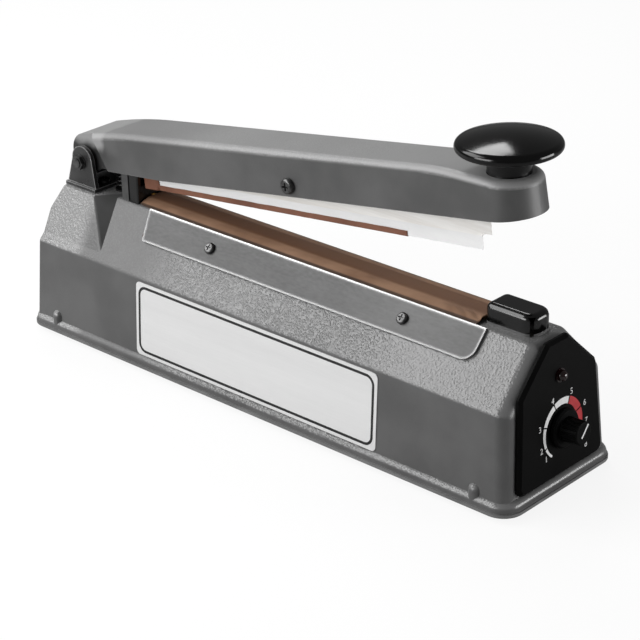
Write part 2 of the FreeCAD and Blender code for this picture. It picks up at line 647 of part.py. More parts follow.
def hinge():
    body = new_body("bracket_body")
    width = "(ear_inside + ear_thick)"
    profile = [("ear_rear", "tower_z"), ("ear_front", "tower_z"),
               ("ear_x + ear_radius", "ear_z", "ear_radius", 1),
               ("ear_x", "ear_z + ear_radius", "ear_radius", 1), ("ear_x - ear_radius", "ear_z")]
    pad(body, outline(body, "profile", "XZ_Plane", profile), f"2 * {width}", both_ways=True)
    seat = "(tower_z + bracket_thick)"
    foot = block(("ear_rear", f"-{width} - bracket_foot", "tower_z"),
                 ("ear_front", f"{width} + bracket_foot", seat))
    room = block(("ear_rear - 1", "-ear_inside", seat), ("ear_front + 1", "ear_inside", "pivot_z + 20"))
    holes = [rod("pin_radius + 0.05", "50", ("pivot_x", "-25", "pivot_z"), "y")]
    spots = [("bracket_screw_x", f"{side} * bracket_screw_y") for side in SIDES]
    holes += [rod("bracket_hole + 0.35", "6", (x, y, "tower_z - 2")) for x, y in spots]
    node(cut(fused(body, foot), room, *holes), "hinge_bracket")
    screws = [moved(screw(*BRACKET_SCREW), (x, y, seat)) for x, y in spots]
    node(group(screws), "bracket_screws")
    washers = []
    for start in (width, f"-{width} - washer_thick"):
        ring = cut(rod("washer_radius", "washer_thick", ("pivot_x", start, "pivot_z"), "y"),
                   rod("pin_radius + 0.1", "60", ("pivot_x", "-30", "pivot_z"), "y"))
        washers.append(ring)
    node(group(washers), "hinge_washers")
    outside = "(ear_inside + ear_thick + washer_thick)"
    tip = f"({outside} + hinge_nut_thick + pin_proud)"
    bolt = fused(rod("pin_radius", f"{outside} + {tip}", ("pivot_x", f"-{tip}", "pivot_z"), "y"),
                 prism(6, "hinge_hexagon", "hinge_nut_thick", ("pivot_x", outside, "pivot_z"), "y"))
    node(bolt, "hinge_pin")
    nut = prism(6, "hinge_hexagon", "hinge_nut_thick",
                ("pivot_x", f"-{outside} - hinge_nut_thick", "pivot_z"), "y")
    node(cut(nut, rod("pin_radius + 0.05", "60", ("pivot_x", "-30", "pivot_z"), "y")), "hinge_nut")


# Pressing arm, built level about the pivot

def arm_plan(body, half, wide, level):
    """Plan of the arm at one level: a narrow knuckle, parallel sides and a round front end."""
    slim = f"(knuckle_half * {half} / arm_half_low)"
    neck = f"{wide} - arm_neck"
    points = [("arm_heel", f"-{slim}"), (neck, f"-{slim}"), (wide, f"-{half}"),
              ("arm_end", f"-{half}", half, 1), (f"arm_end + {half}", "0", half, 1), ("arm_end", half),
              (wide, half), (neck, slim), ("arm_heel", slim)]
    return outline(body, "plan", "XY_Plane", points, level)


# The arm from the side: from its heel along the underside to the front end, and back along the arched top
ARM_SIDE = [("-9", "-9.84"), ("-4", "-10.44"), ("3", "-7.6"), ("12", "-3.3"), ("19", "-2.9"), ("60", "-2.9"),
            ("148", "0.8"), ("290", "6.2"), ("290", "21.378"), ("247.9624", "25.0337", "arm_top_radius", 1),
            ("228.0081", "25.4967"), ("40", "17.9081", "arm_rear_radius", 1), ("-3", "13.2", "9.5", 1),
            ("-9", "5.5")]


def pressing_arm():
    plan = new_body("arm_plan")
    loft(plan, arm_plan(plan, "arm_half_low", "arm_wide_low", "arm_low"),
         arm_plan(plan, "arm_half_top", "arm_wide_top", "arm_top"))
    side = new_body("arm_side")
    pad(side, outline(side, "profile", "XZ_Plane", ARM_SIDE), "60", both_ways=True)
    wide = value("(arm_wide_low + arm_wide_top) / 2")

    def top_rim(edge):
        spot = middle(edge)
        return spot.z > 10 and abs(spot.y) > 9 and edge.BoundBox.ZLength < 9 and spot.x > wide

    solid = rounded(common(plan, side), [(top_rim, "arm_round")])
    hollow = block(("hollow_rear", "-hollow_half", "-20"), ("hollow_front", "hollow_half", "hollow_top"))
    bores = [rod("bush_radius", "60", ("0", "-30", "0"), "y"),
             rod("rock_radius + 0.2", "60", ("rock_x", "-30", "rock_z"), "y"),
             to_knob(group([rod("stud_radius + 0.05", "40", ("0", "0", "stud_low - 0.5"))])),
             to_knob(group([rod("stem_radius + 0.12", "20", ("0", "0", "0"))]))]
    node(to_arm(cut(solid, hollow, *bores)), "pressing_arm")
    bushes = []
    length = "(knuckle_half + bush_flange - 2.9)"
    for low, flange in (("3", "knuckle_half + 0.1"), (f"-3 - {length}", "-knuckle_half - 0.1 - bush_flange")):
        sleeve = fused(rod("bush_radius - 0.02", length, ("0", low, "0"), "y"),
                       rod("bush_radius + 2", "bush_flange", ("0", flange, "0"), "y"))
        bushes.append(cut(sleeve, rod("pin_radius + run_gap", "60", ("0", "-30", "0"), "y")))
    node(to_arm(group(bushes)), "hinge_bushes")


def to_knob(item):
    """The press knob's frame: its seat on the arm, leaning forward."""
    return place(item, ("knob_x", "0", "knob_seat"), Rotation(Vector(0, 1, 0), value("knob_tilt")))


def domed_face(height, rim):
    """Radius of a domed face of the knob, and the reach and height where it joins the round rim."""
    inset = f"(knob_radius - {rim})"
    dome = f"(({inset} ^ 2 + {height} ^ 2 - {rim} ^ 2) / (2 * ({height} - {rim})))"
    return dome, f"{dome} * {inset} / ({dome} - {rim})", f"({dome} - {height}) * {rim} / ({dome} - {rim})"


def press_knob():
    """Mushroom grip: waisted stem, and a wide head whose two domed faces meet in a round rim."""
    body = new_body("press_knob_body")
    top_dome, top_reach, top_rise = domed_face("knob_upper", "knob_upper_rim")
    low_dome, low_reach, low_rise = domed_face("knob_lower", "knob_lower_rim")
    flare = "(stem_radius + stem_flare)"
    under = f"(knob_middle + {low_dome} - knob_lower - sqrt({low_dome} ^ 2 - {flare} ^ 2))"
    bore = "(stud_radius + 0.05)"
    profile = [(bore, "0"), ("stem_radius", "0", "stem_waist", -1),
               ("stem_radius", f"{under} - stem_flare", "stem_fillet", -1), (flare, under, low_dome, 1),
               (low_reach, f"knob_middle - {low_rise}", "knob_lower_rim", 1),
               ("knob_radius", "knob_middle", "knob_upper_rim", 1),
               (top_reach, f"knob_middle + {top_rise}", top_dome, 1), ("0", "knob_middle + knob_upper"),
               ("0", "stud_high + 0.5"), (bore, "stud_high + 0.5")]
    revolve(body, outline(body, "profile", "XZ_Plane", profile), "Z_Axis")
    node(to_arm(group([to_knob(group([place(body, ("0", "0", "lay_gap"))]))])), "press_knob")
    stud = rod("stud_radius", "stud_high - stud_low", ("0", "0", "stud_low"))
    node(to_arm(group([to_knob(group([stud]))])), "knob_stud")


def slant_cut(front, half):
    """What the saw takes off the front end of the seal bar: its back corner is cut shorter."""
    body = new_body("slant_cut")
    plan = [(f"{front} + rail_slant", f"-{half} - 1"), (f"{front} + 30", f"-{half} - 1"),
            (f"{front} + 30", f"{half} + 1"), (f"{front} - rail_slant * (2 * {half} + 1)", f"{half} + 1")]
    pad(body, outline(body, "plan", "XY_Plane", plan, "-20"), "40")
    return body


def seal_bar():
    """White rail hung on one cross screw at mid length, with the silicone strip keyed into it."""
    upper = block(("rail_rear", "-rail_half", "rail_low"), ("rail_front", "rail_half", "rail_top"))
    top = value("rail_top")
    shaped = rounded(upper, [(lambda edge: edge.Length > 100 and middle(edge).z > top - 1, "rail_round")])
    groove = block(("rail_rear - 1", "-tongue_half - 0.05", "rail_low - 1"),
                   ("rail_front + 1", "tongue_half + 0.05", "tongue_top + 0.05"))
    step = block(("strip_front", "-rail_half - 1", "rail_low - 1"),
                 ("rail_front + 1", "rail_half + 1", "rail_low + rail_step"))
    bore = rod("rock_radius + run_gap", "40", ("rock_x", "-20", "rock_z"), "y")
    node(to_arm(cut(shaped, groove, step, bore, slant_cut("rail_front", "rail_half"))), "seal_bar_rail")
    lip = block(("rail_rear", "-strip_half", "strip_low"), ("strip_front", "strip_half", "rail_low - 0.02"))
    tongue = block(("rail_rear", "-tongue_half", "rail_low - 1"),
                   ("strip_front", "tongue_half", "tongue_top"))
    node(to_arm(cut(fused(lip, tongue), slant_cut("strip_front", "strip_half"))), "silicone_strip")
    skin = "(tape_thick + lay_gap)"
    outer = block(("tape_rear", f"-strip_half - {skin}", f"strip_low - {skin}"),
                  ("tape_front", f"strip_half + {skin}", "strip_low + tape_lip"))
    inside = block(("tape_rear - 1", "-strip_half - lay_gap", "strip_low - lay_gap"),
                   ("tape_front + 1", "strip_half + lay_gap", "rail_low + 8"))
    tail = block(("tape_rear", f"-tail_half - {skin}", f"strip_low - {skin}"),
                 ("tail_front", f"tail_half + {skin}", "tail_top"))
    tail_room = block(("tape_rear - 1", "-tail_half - lay_gap", "strip_low - lay_gap"),
                      ("tail_front + 1", "tail_half + lay_gap", "rail_top"))
    node(to_arm(fused(cut(outer, inside, tail_room), cut(tail, tail_room))), "seal_tape")
    across = moved(screw(*ROCK_SCREW), ("rock_x", "-rock_seat", "rock_z"), Rotation(Vector(1, 0, 0), 90))
    node(to_arm(group([across])), "arm_side_screw")
    nut = cut(prism(6, "rock_hexagon", "rock_nut_thick", ("rock_x", "rock_seat", "rock_z"), "y"),
              rod("rock_radius + 0.05", "60", ("rock_x", "-30", "rock_z"), "y"))
    node(to_arm(group([nut])), "arm_side_nut")
    spacers = []
    for low in ("-hollow_half + 0.1", "rail_half + 0.3"):
        tube = cut(rod("spacer_radius", "hollow_half - rail_half - 0.4", ("rock_x", low, "rock_z"), "y"),
                   rod("rock_radius + 0.1", "60", ("rock_x", "-30", "rock_z"), "y"))
        spacers.append(tube)
    node(to_arm(group(spacers)), "rail_spacers")


# Heated jaw on the ridge

def slope_z(y):
    return f"(roof_z - ({y} - ridge_half) * (roof_z - shoulder_z) / (shoulder_half - ridge_half))"


def heated_jaw():
    bar = block(("bar_rear", "-bar_half", "roof_z"), ("bar_front", "bar_half", BAR_TOP))
    node(group([bar]), "heating_bar")
    ribbon_top = f"({BAR_TOP} + element_thick)"
    clamp_low, clamp_top = f"({ribbon_top} + lay_gap)", f"({ribbon_top} + terminal_height)"
    ribbon = block(("terminal_rear", "-element_half", BAR_TOP),
                   ("terminal_front", "element_half", ribbon_top))
    tabs, holes, bases, clamps, screws = [], [], [], [], []
    for x in TERMINALS:
        rear, front = f"({x} - {x}_half)", f"({x} + {x}_half)"
        hole = rod("1.1", "40", (x, "0", "roof_z - 20"))
        holes.append(hole)
        tabs.append(block((f"{rear} + 0.2", "-3", BAR_TOP), (f"{front} - 0.2", "3", ribbon_top)))
        bases.append(cut(block((rear, "-5", "roof_z"), (front, "5", BAR_TOP)), hole))
        clamp = block((f"{rear} + 0.2", "-4", clamp_low), (f"{front} - 0.2", "4", clamp_top))
        clamps.append(cut(clamp, hole))
        screws.append(moved(screw(*TERMINAL_SCREW), (x, "0", f"{clamp_top} + lay_gap")))
    node(cut(fused(ribbon, *tabs), *holes), "heating_element")
    for side in SIDES:
        near, far = sorted((f"{side} * post_inside", f"{side} * rear_cap_half"), key=value)
        bases.append(block(("post_rear", near, "roof_z"), ("post_front", far, "post_top")))
    node(group(bases), "terminal_bases")
    node(group(clamps), "terminal_clamps")
    node(group(screws), "terminal_screws")
    jaw_cloth()


def jaw_cloth():
    """Coated cloth over the bar: a tent down both roof slopes, its rear end on the ridge only."""
    body = new_body("cloth_body")
    right = [("cloth_half", f"{slope_z('cloth_half')} + cloth_lift"), ("ridge_half", "roof_z + cloth_lift"),
             ("bar_half + 0.3", f"{BAR_TOP} + element_thick + cloth_lift")]
    left = [(f"-({x})", y) for x, y in reversed(right)]
    lower = right + left
    upper = [(x, f"{y} + cloth_thick") for x, y in reversed(lower)]
    pad(body, outline(body, "section", "YZ_Plane", lower + upper, "cloth_rear"), "cloth_front - cloth_rear")
    holes = []
    for side in SIDES:
        near, far = sorted((f"{side} * ridge_half", f"{side} * (cloth_half + 1)"), key=value)
        holes.append(block(("cloth_rear - 1", near, "shoulder_z"), ("cloth_slope_rear", far, "roof_z + 1")))
        spots = [rod("clamp_hole + 0.45", "4", (x, y, "-2")) for x, y in clamp_spots(side)]
        holes.append(to_slope(group(spots), side))
    node(cut(body, *holes), "ptfe_cloth")


def clamp_plates():
    for side, name in ((-1, "front_clamp_plate"), (1, "rear_clamp_plate")):
        body = new_body(name + "_body")
        low, high = slope_spot(side, "clamp_low"), slope_spot(side, "clamp_high")
        plan = [("clamp_rear + clamp_slant", low), ("clamp_front", low), ("clamp_front", high),
                ("clamp_rear", high)]
        if side > 0:
            plan = [(f"-({x})", y) for x, y in reversed(plan)]
        plate = pad(body, outline(body, "plan", "XY_Plane", plan, "clamp_gap"), "clamp_thick")
        level = value(low) + 1

        def lower_corner(edge, end):
            return is_upright(edge) and middle(edge).y < level and middle(edge).x * side * end < 0

        plate = fillet(body, plate, "clamp_corner", lambda edge: lower_corner(edge, 1))
        fillet(body, plate, "clamp_rear_corner", lambda edge: lower_corner(edge, -1))
        spots = clamp_spots(side)
        holes = [rod("clamp_hole + 0.2", "6", (x, y, "-2")) for x, y in spots]
        node(to_slope(cut(body, *holes), side), name)
        screws = [moved(screw(*CLAMP_SCREW), (x, y, "clamp_gap + clamp_thick")) for x, y in spots]
        node(to_slope(group(screws), side), name + "_screws")


def front_cap_plan(name, low, high):
    """A slab with the front cap's plan, rounder towards the control panel."""
    body = new_body(name)
    plan = rectangle("front_cap_rear", "front_cap_front", "-front_cap_half", "front_cap_half")
    slab = pad(body, outline(body, "plan", "XY_Plane", plan, low), f"{high} - ({low})")
    halfway = value("(front_cap_rear + front_cap_front) / 2")
    slab = fillet(body, slab, "front_cap_nose", lambda edge: is_upright(edge) and middle(edge).x > halfway)
    slab = fillet(body, slab, "front_cap_heel", lambda edge: is_upright(edge) and middle(edge).x < halfway)
    return body, slab


def cap_room(rear, front, half, top):
    """The space inside a cap."""
    return block((f"{rear} + cap_wall", f"-{half} + cap_wall", "roof_z"),
                 (f"{front} - cap_wall", f"{half} - cap_wall", f"{top} - cap_wall"))


def cap_slot(rear, front):
    """The slot through which the heating element enters a cap."""
    return block((rear, "-bar_half - 0.6", "roof_z"), (front, "bar_half + 0.6", f"{BAR_TOP} + cap_slot"))


def front_cap_rim():
    """Low rim of the casting that the front cap stands on."""
    body, _ = front_cap_plan("front_cap_rim", "roof_z - 1.5", "front_cap_low")
    return cut(body, cap_room(*FRONT_CAP), cap_slot(*FRONT_SLOT))


def terminal_caps():
    """Black covers over the two ends of the heating element, open below and towards the jaw."""
    body, slab = front_cap_plan("front_cap_body", "front_cap_low", "front_cap_top")
    top = value("front_cap_top")
    fillet(body, slab, "front_cap_round", lambda edge: edge.BoundBox.ZMin > top - 0.01)
    node(cut(body, cap_room(*FRONT_CAP), cap_slot(*FRONT_SLOT)), "front_terminal_cap")
    rear = block(("rear_cap_rear", "-rear_cap_half", "roof_z"),
                 ("rear_cap_front", "rear_cap_half", "rear_cap_top"))
    low = value("roof_z") + 1
    shaped = rounded(rear, [(lambda edge: edge.BoundBox.ZMax > low, "rear_cap_round")])
    room = cap_room("rear_cap_rear", "rear_cap_front", "rear_cap_half", "rear_cap_top")
    node(cut(shaped, room, cap_slot("rear_cap_front - 2", "rear_cap_front + 1")), "rear_terminal_cap")


# Switch gear: the arm pushes a sprung rod down onto the lever of a small switch

def at_rod(item):
    """Move what is built about the middle plane to the rod's side of it."""
    return place(group([item]), ("0", "rod_y", "0"))


def push_rod():
    tip = "(rod_low + tip_length)"
    shaft = fused(cone("rod_tip", "rod_radius", "tip_length", ("rod_x", "0", "rod_low")),
                  rod("rod_radius", f"{ROD_HEAD} - {tip}", ("rod_x", "0", tip)),
                  rod("rod_head", "head_height", ("rod_x", "0", ROD_HEAD)),
                  cone("rod_head", "crown_radius", "crown_height", ("rod_x", "0", "rod_top - crown_height")))
    node(at_rod(shaft), "push_rod")
    bush = fused(rod("rod_bush", "tower_z - roof_z + bush_drop", ("rod_x", "0", "roof_z - bush_drop")),
                 rod("bush_rim", "bush_rim_thick", ("rod_x", "0", "tower_z")))
    node(at_rod(cut(bush, rod("rod_radius + run_gap", "40", ("rod_x", "0", "roof_z - 20")))), "push_rod_bush")


def helix_arcs(radius, pitch, turns, start):
    """Quarter turns of a helix, each as two tangent arcs, and the points they pass."""
    steps = int(round(turns * 4))
    climb = math.atan2(pitch, 2 * math.pi * radius)

    def spot(quarter):
        turn = quarter * math.pi / 2
        return start + Vector(radius * math.cos(turn), radius * math.sin(turn), pitch * quarter / 4)

    def tangent(quarter):
        turn = quarter * math.pi / 2
        flat = math.cos(climb)
        return Vector(-flat * math.sin(turn), flat * math.cos(turn), math.sin(climb))

    edges = []
    for quarter in range(steps):
        first, last = spot(quarter), spot(quarter + 1)
        leave, arrive = tangent(quarter), tangent(quarter + 1)
        chord = last - first
        total = leave + arrive
        slack = 2 * (1 - leave.dot(arrive))
        reach = (-chord.dot(total) + math.sqrt(chord.dot(total) ** 2 + slack * chord.dot(chord))) / slack
        meet = (first + leave * reach + last - arrive * reach) * 0.5
        for begin, direction, finish in ((first, leave, meet), (meet, None, last)):
            if direction is None:
                direction = (last - arrive * reach - (first + leave * reach)).normalize()
            edges.append(tangent_arc(begin, direction, finish))
    return edges, spot(0), tangent(0), spot(steps), tangent(steps)


def tangent_arc(begin, direction, finish):
    """The arc that leaves a point in a direction and ends at another point."""
    chord = finish - begin
    across = chord - direction * chord.dot(direction)
    radius = chord.dot(chord) / (2 * across.Length)
    centre = begin + across.normalize() * radius
    halfway = (begin + finish) * 0.5 - centre
    return Part.Arc(begin, centre + halfway.normalize() * radius, finish).toShape()


def return_spring():
    """Compression spring round the push rod, between the bush flange and the rod's head."""
    wire = value("spring_wire")
    room = wire / 2 + 0.2
    low, high = value("tower_z + bush_rim_thick") + room, value(ROD_HEAD) - room
    turns = value("spring_turns")
    radius, pitch = value("spring_radius"), (high - low) / turns
    edges, first, leave, last, arrive = helix_arcs(radius, pitch, turns,
                                                   Vector(value("rod_x"), value("rod_y"), low))
    edges.insert(0, Part.LineSegment(first - leave * wire, first).toShape())
    edges.append(Part.LineSegment(last, last + arrive * wire).toShape())
    path = Part.Wire(edges)
    section = Part.Wire([Part.Circle(first - leave * wire, leave, wire / 2).toShape()])
    tube = path.makePipeShell([section], True, False)
    length = path.Length
    points = path.discretize(Number=600)
    far = int(3 * radius / length * len(points)) + 1
    gaps = [one.distanceToPoint(other) - wire
            for number, one in enumerate(points) for other in points[number + far:]]
    print("return spring: least gap to itself", round(min(gaps), 2), "mm; volume over section times length",
          round(tube.Volume / (math.pi * wire ** 2 / 4 * length), 4))
    item = doc.addObject("Part::Feature", "Spring")
    item.Shape = tube
    item.Placement = Placement()
    node(item, "return_spring")


def microswitch():
    """Switch with its sprung lever, on a bracket that stands on the bottom plate."""
    low = "(switch_top - 16)"
    rear = "(switch_front - switch_length)"
    case = block((rear, "-5", low), ("switch_front", "5", "switch_top"))
    spots = (f"{rear} + 3", "switch_front - 3")
    holes = [rod("1.6", "30", (x, "-15", f"{low} + 3"), "y") for x in spots]
    node(at_rod(cut(case, *holes)), "microswitch_body")
    lever = fused(block(("-lever_length", "-lever_half", "0"), ("0", "lever_half", "0.4")),
                  rod("lever_eye", "2 * lever_half", ("0", "-lever_half", "0"), "y"))
    tilt = Rotation(Vector(0, 1, 0), value("lever_angle"))
    node(place(group([lever]), ("lever_pivot_x", "rod_y", "lever_pivot_z"), tilt), "microswitch_lever")
    web = block((rear, "5.05", BOTTOM), ("switch_front", "6.55", "switch_top - 2"))
    foot = block((rear, "5.05", BOTTOM), ("switch_front", "20", f"{BOTTOM} + 1.5"))
    node(at_rod(cut(fused(web, foot), *holes)), "switch_bracket")
    bolts = [moved(screw(*SWITCH_SCREW), (x, "-5.02", f"{low} + 3"), Rotation(Vector(1, 0, 0), 90))
             for x in spots]
    node(at_rod(group(bolts)), "switch_screws")


# Transformer, timer board and wiring on the bottom plate

def transformer_feet():
    return [(f"core_x + {x} * (core_length / 2 + 7)", "0") for x in (-1, 1)]


def transformer():
    low, high = f"({BOTTOM} + 1.6)", f"({BOTTOM} + 1.6 + core_height)"
    ends = ("(core_x - core_length / 2)", "(core_x + core_length / 2)")
    depth = "(core_depth / 2)"
    core = block((ends[0], f"-{depth}", low), (ends[1], depth, high))
    windows = []
    for side in SIDES:
        near = f"core_x + {side} * limb / 2"
        far = f"core_x + {side} * (limb / 2 + window)"
        pair = (near, far) if side > 0 else (far, near)
        windows.append(block((pair[0], "-30", f"{low} + window"), (pair[1], "30", f"{high} - window")))
    node(cut(core, *windows), "transformer_core")
    reach = "(limb / 2 + window - coil_gap)"
    coil = block((f"core_x - {reach}", f"-{depth} - coil_reach", f"{low} + window + coil_gap"),
                 (f"core_x + {reach}", f"{depth} + coil_reach", f"{high} - window - coil_gap"))
    hole = block(("core_x - limb / 2 - 0.1", f"-{depth} - 0.1", low),
                 ("core_x + limb / 2 + 0.1", f"{depth} + 0.1", high))
    node(cut(coil, hole), "transformer_coil")
    strap = block((f"{ends[0]} - strap_thick", "-strap_half", BOTTOM),
                  (f"{ends[1]} + strap_thick", "strap_half", f"{high} + strap_thick + 0.1"))
    room = block((f"{ends[0]} - 0.1", "-20", f"{BOTTOM} + strap_thick"),
                 (f"{ends[1]} + 0.1", "20", f"{high} + 0.1"))
    feet = block((f"{ends[0]} - strap_foot", "-strap_half", BOTTOM),
                 (f"{ends[1]} + strap_foot", "strap_half", f"{BOTTOM} + strap_thick"))
    holes = [rod("strap_hole", "10", (x, y, "0")) for x, y in transformer_feet()]
    node(cut(fused(strap, feet), room, *holes), "transformer_strap")
    bolts = [moved(screw(*CORE_SCREW), (x, y, "foot_height"), TOWARDS["-z"]) for x, y in transformer_feet()]
    node(group(bolts), "transformer_screws")
    nuts = []
    for x, y in transformer_feet():
        hexagon = prism(6, "core_hexagon", "core_nut_thick", (x, y, f"{BOTTOM} + strap_thick + lay_gap"))
        nuts.append(cut(hexagon, rod("2", "10", (x, y, BOTTOM))))
    node(group(nuts), "transformer_nuts")


def timer_board():
    top = "(board_z + board_thick)"
    board = block(("board_rear", "-board_half", "board_z"), ("board_front", "board_half", top))
    node(group([board]), "timer_board")
    posts = []
    for x in ("board_rear + post_inset", "board_front - post_inset"):
        for side in SIDES:
            spot = (x, f"{side} * (board_half - post_inset)", BOTTOM)
            posts.append(rod("post_radius", f"board_z - {BOTTOM}", spot))
    node(group(posts), "board_posts")
    cans = [rod("can_radius", "can_height", (f"board_rear + {x}", "-14", top)) for x in (14, 27)]
    node(group(cans), "board_capacitors")
    relay = block(("board_rear + 8", "4", top), ("board_rear + 28", "20", f"{top} + relay_height"))
    node(group([relay]), "board_relay")
    fins = []
    for x in ("(board_front - 24)", "(board_front - 20)", "(board_front - 16)"):
        fins.append(block((x, "-4", top), (f"{x} + fin_thick", "20", f"{top} + fin_height")))
    web = block(("board_front - 24", "-4", top), ("board_front - 16 + fin_thick", "20", f"{top} + fin_thick"))
    node(fused(web, *fins), "triac_heat_sink")
    strip = block(("block_rear", "-block_reach", BOTTOM),
                  ("block_rear + block_length", "block_reach", f"{BOTTOM} + block_height"))
    along, up = "block_rear + block_length / 2", f"{BOTTOM} + block_height / 2"
    ways = [rod("2", "block_height", (along, str(y), up)) for y in (-8, 0, 8)]
    node(cut(strip, *ways), "terminal_strip")


base_casting()
bottom_plate()
cable_gland()
nameplate()
control_panel()
timer_control()
indicator_lamp()
hinge()
pressing_arm()
press_knob()
seal_bar()
heated_jaw()
clamp_plates()
terminal_caps()
push_rod()
return_spring()
microswitch()
transformer()
timer_board()

doc.recompute()
failed = [item.Label for item in doc.Objects if "Invalid" in item.State or "Error" in item.State]
failed += [item.Label for item in nodes if item.Shape.isNull() or not item.Shape.isValid()]
if failed:
    raise RuntimeError("failed objects: " + ", ".join(failed))

os.makedirs("parts", exist_ok=True)
for item in nodes:
    item.Shape.exportStep(os.path.join("parts", item.Label + ".step"))
print(len(nodes), "sub-parts written")
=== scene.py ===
import math

import bmesh
import bpy
import numpy as np
from mathutils import Matrix, Vector


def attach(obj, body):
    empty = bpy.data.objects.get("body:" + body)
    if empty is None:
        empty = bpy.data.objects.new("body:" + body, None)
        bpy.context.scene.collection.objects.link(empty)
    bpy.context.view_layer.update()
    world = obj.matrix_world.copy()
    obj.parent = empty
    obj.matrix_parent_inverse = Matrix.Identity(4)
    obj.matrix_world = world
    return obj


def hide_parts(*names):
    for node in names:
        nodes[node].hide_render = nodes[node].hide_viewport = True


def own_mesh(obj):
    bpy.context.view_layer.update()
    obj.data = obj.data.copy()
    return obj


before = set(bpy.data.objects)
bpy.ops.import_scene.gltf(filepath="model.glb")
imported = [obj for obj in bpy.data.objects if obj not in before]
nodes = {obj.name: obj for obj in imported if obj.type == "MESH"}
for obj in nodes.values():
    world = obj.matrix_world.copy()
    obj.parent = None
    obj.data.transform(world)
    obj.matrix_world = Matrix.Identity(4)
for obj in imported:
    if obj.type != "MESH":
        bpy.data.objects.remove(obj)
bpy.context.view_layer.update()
scene = bpy.context.scene
scene.view_settings.view_transform = "Standard"
mm = 0.001
print("frame loaded:", len(nodes), "nodes")

# Camera, world, lamps and floor

cameraView = {"aim": (0.016736, -0.004355, 0.044171), "azimuth": 43.117, "elevation": 25.368,
              "roll": -1.243, "distance": 1.01548, "lens": 118.93}


def setCamera(view):
    azimuth, elevation, roll = (math.radians(view[key]) for key in ("azimuth", "elevation", "roll"))
    back = Vector((math.sin(azimuth) * math.cos(elevation), -math.cos(azimuth) * math.cos(elevation),
                   math.sin(elevation)))
    side = Vector((math.cos(azimuth), math.sin(azimuth), 0))
    rise = back.cross(side)
    right = side * math.cos(roll) + rise * math.sin(roll)
    up = rise * math.cos(roll) - side * math.sin(roll)
    data = bpy.data.cameras.new("photoCamera")
    data.sensor_width = 36
    data.lens = view["lens"]
    data.clip_start = 0.01
    camera = bpy.data.objects.new("photoCamera", data)
    turned = Matrix((right, up, back)).transposed().to_4x4()
    turned.translation = Vector(view["aim"]) + back * view["distance"]
    camera.matrix_world = turned
    scene.collection.objects.link(camera)
    scene.camera = camera


studio = {
    "ambient": 0.16, "ambientTone": (1.0, 1.0, 1.0, 1), "floorGlow": 0.88,
    "floorSeen": (0.96, 0.96, 0.96, 1), "floorBounce": (0.42, 0.42, 0.42, 1),
    "lamps": {  # name: place, aim, width, height, watts
        "keyBox": ((-0.82, -0.58, 0.88), (0, 0, 0.06), 0.95, 0.8, 12.5),
        "frontBox": ((-0.35, -1.45, 0.55), (0, 0, 0.08), 1.0, 0.6, 15.0),
        "backBox": ((-0.55, 0.42, 1.03), (0.13, -0.02, 0.16), 0.54, 0.31, 4.6),
        "sideBox": ((0.98, 0.52, 0.14), (0.13, 0, 0.13), 0.60, 0.40, 7.5),
    },
}


def seenRays(tree):
    # 1 for what the camera sees straight or through glass, and 0 for the light that falls on things
    path = tree.nodes.new("ShaderNodeLightPath")
    either = tree.nodes.new("ShaderNodeMath")
    either.operation = "MAXIMUM"
    tree.links.new(path.outputs["Is Camera Ray"], either.inputs[0])
    tree.links.new(path.outputs["Is Transmission Ray"], either.inputs[1])
    return either.outputs[0]


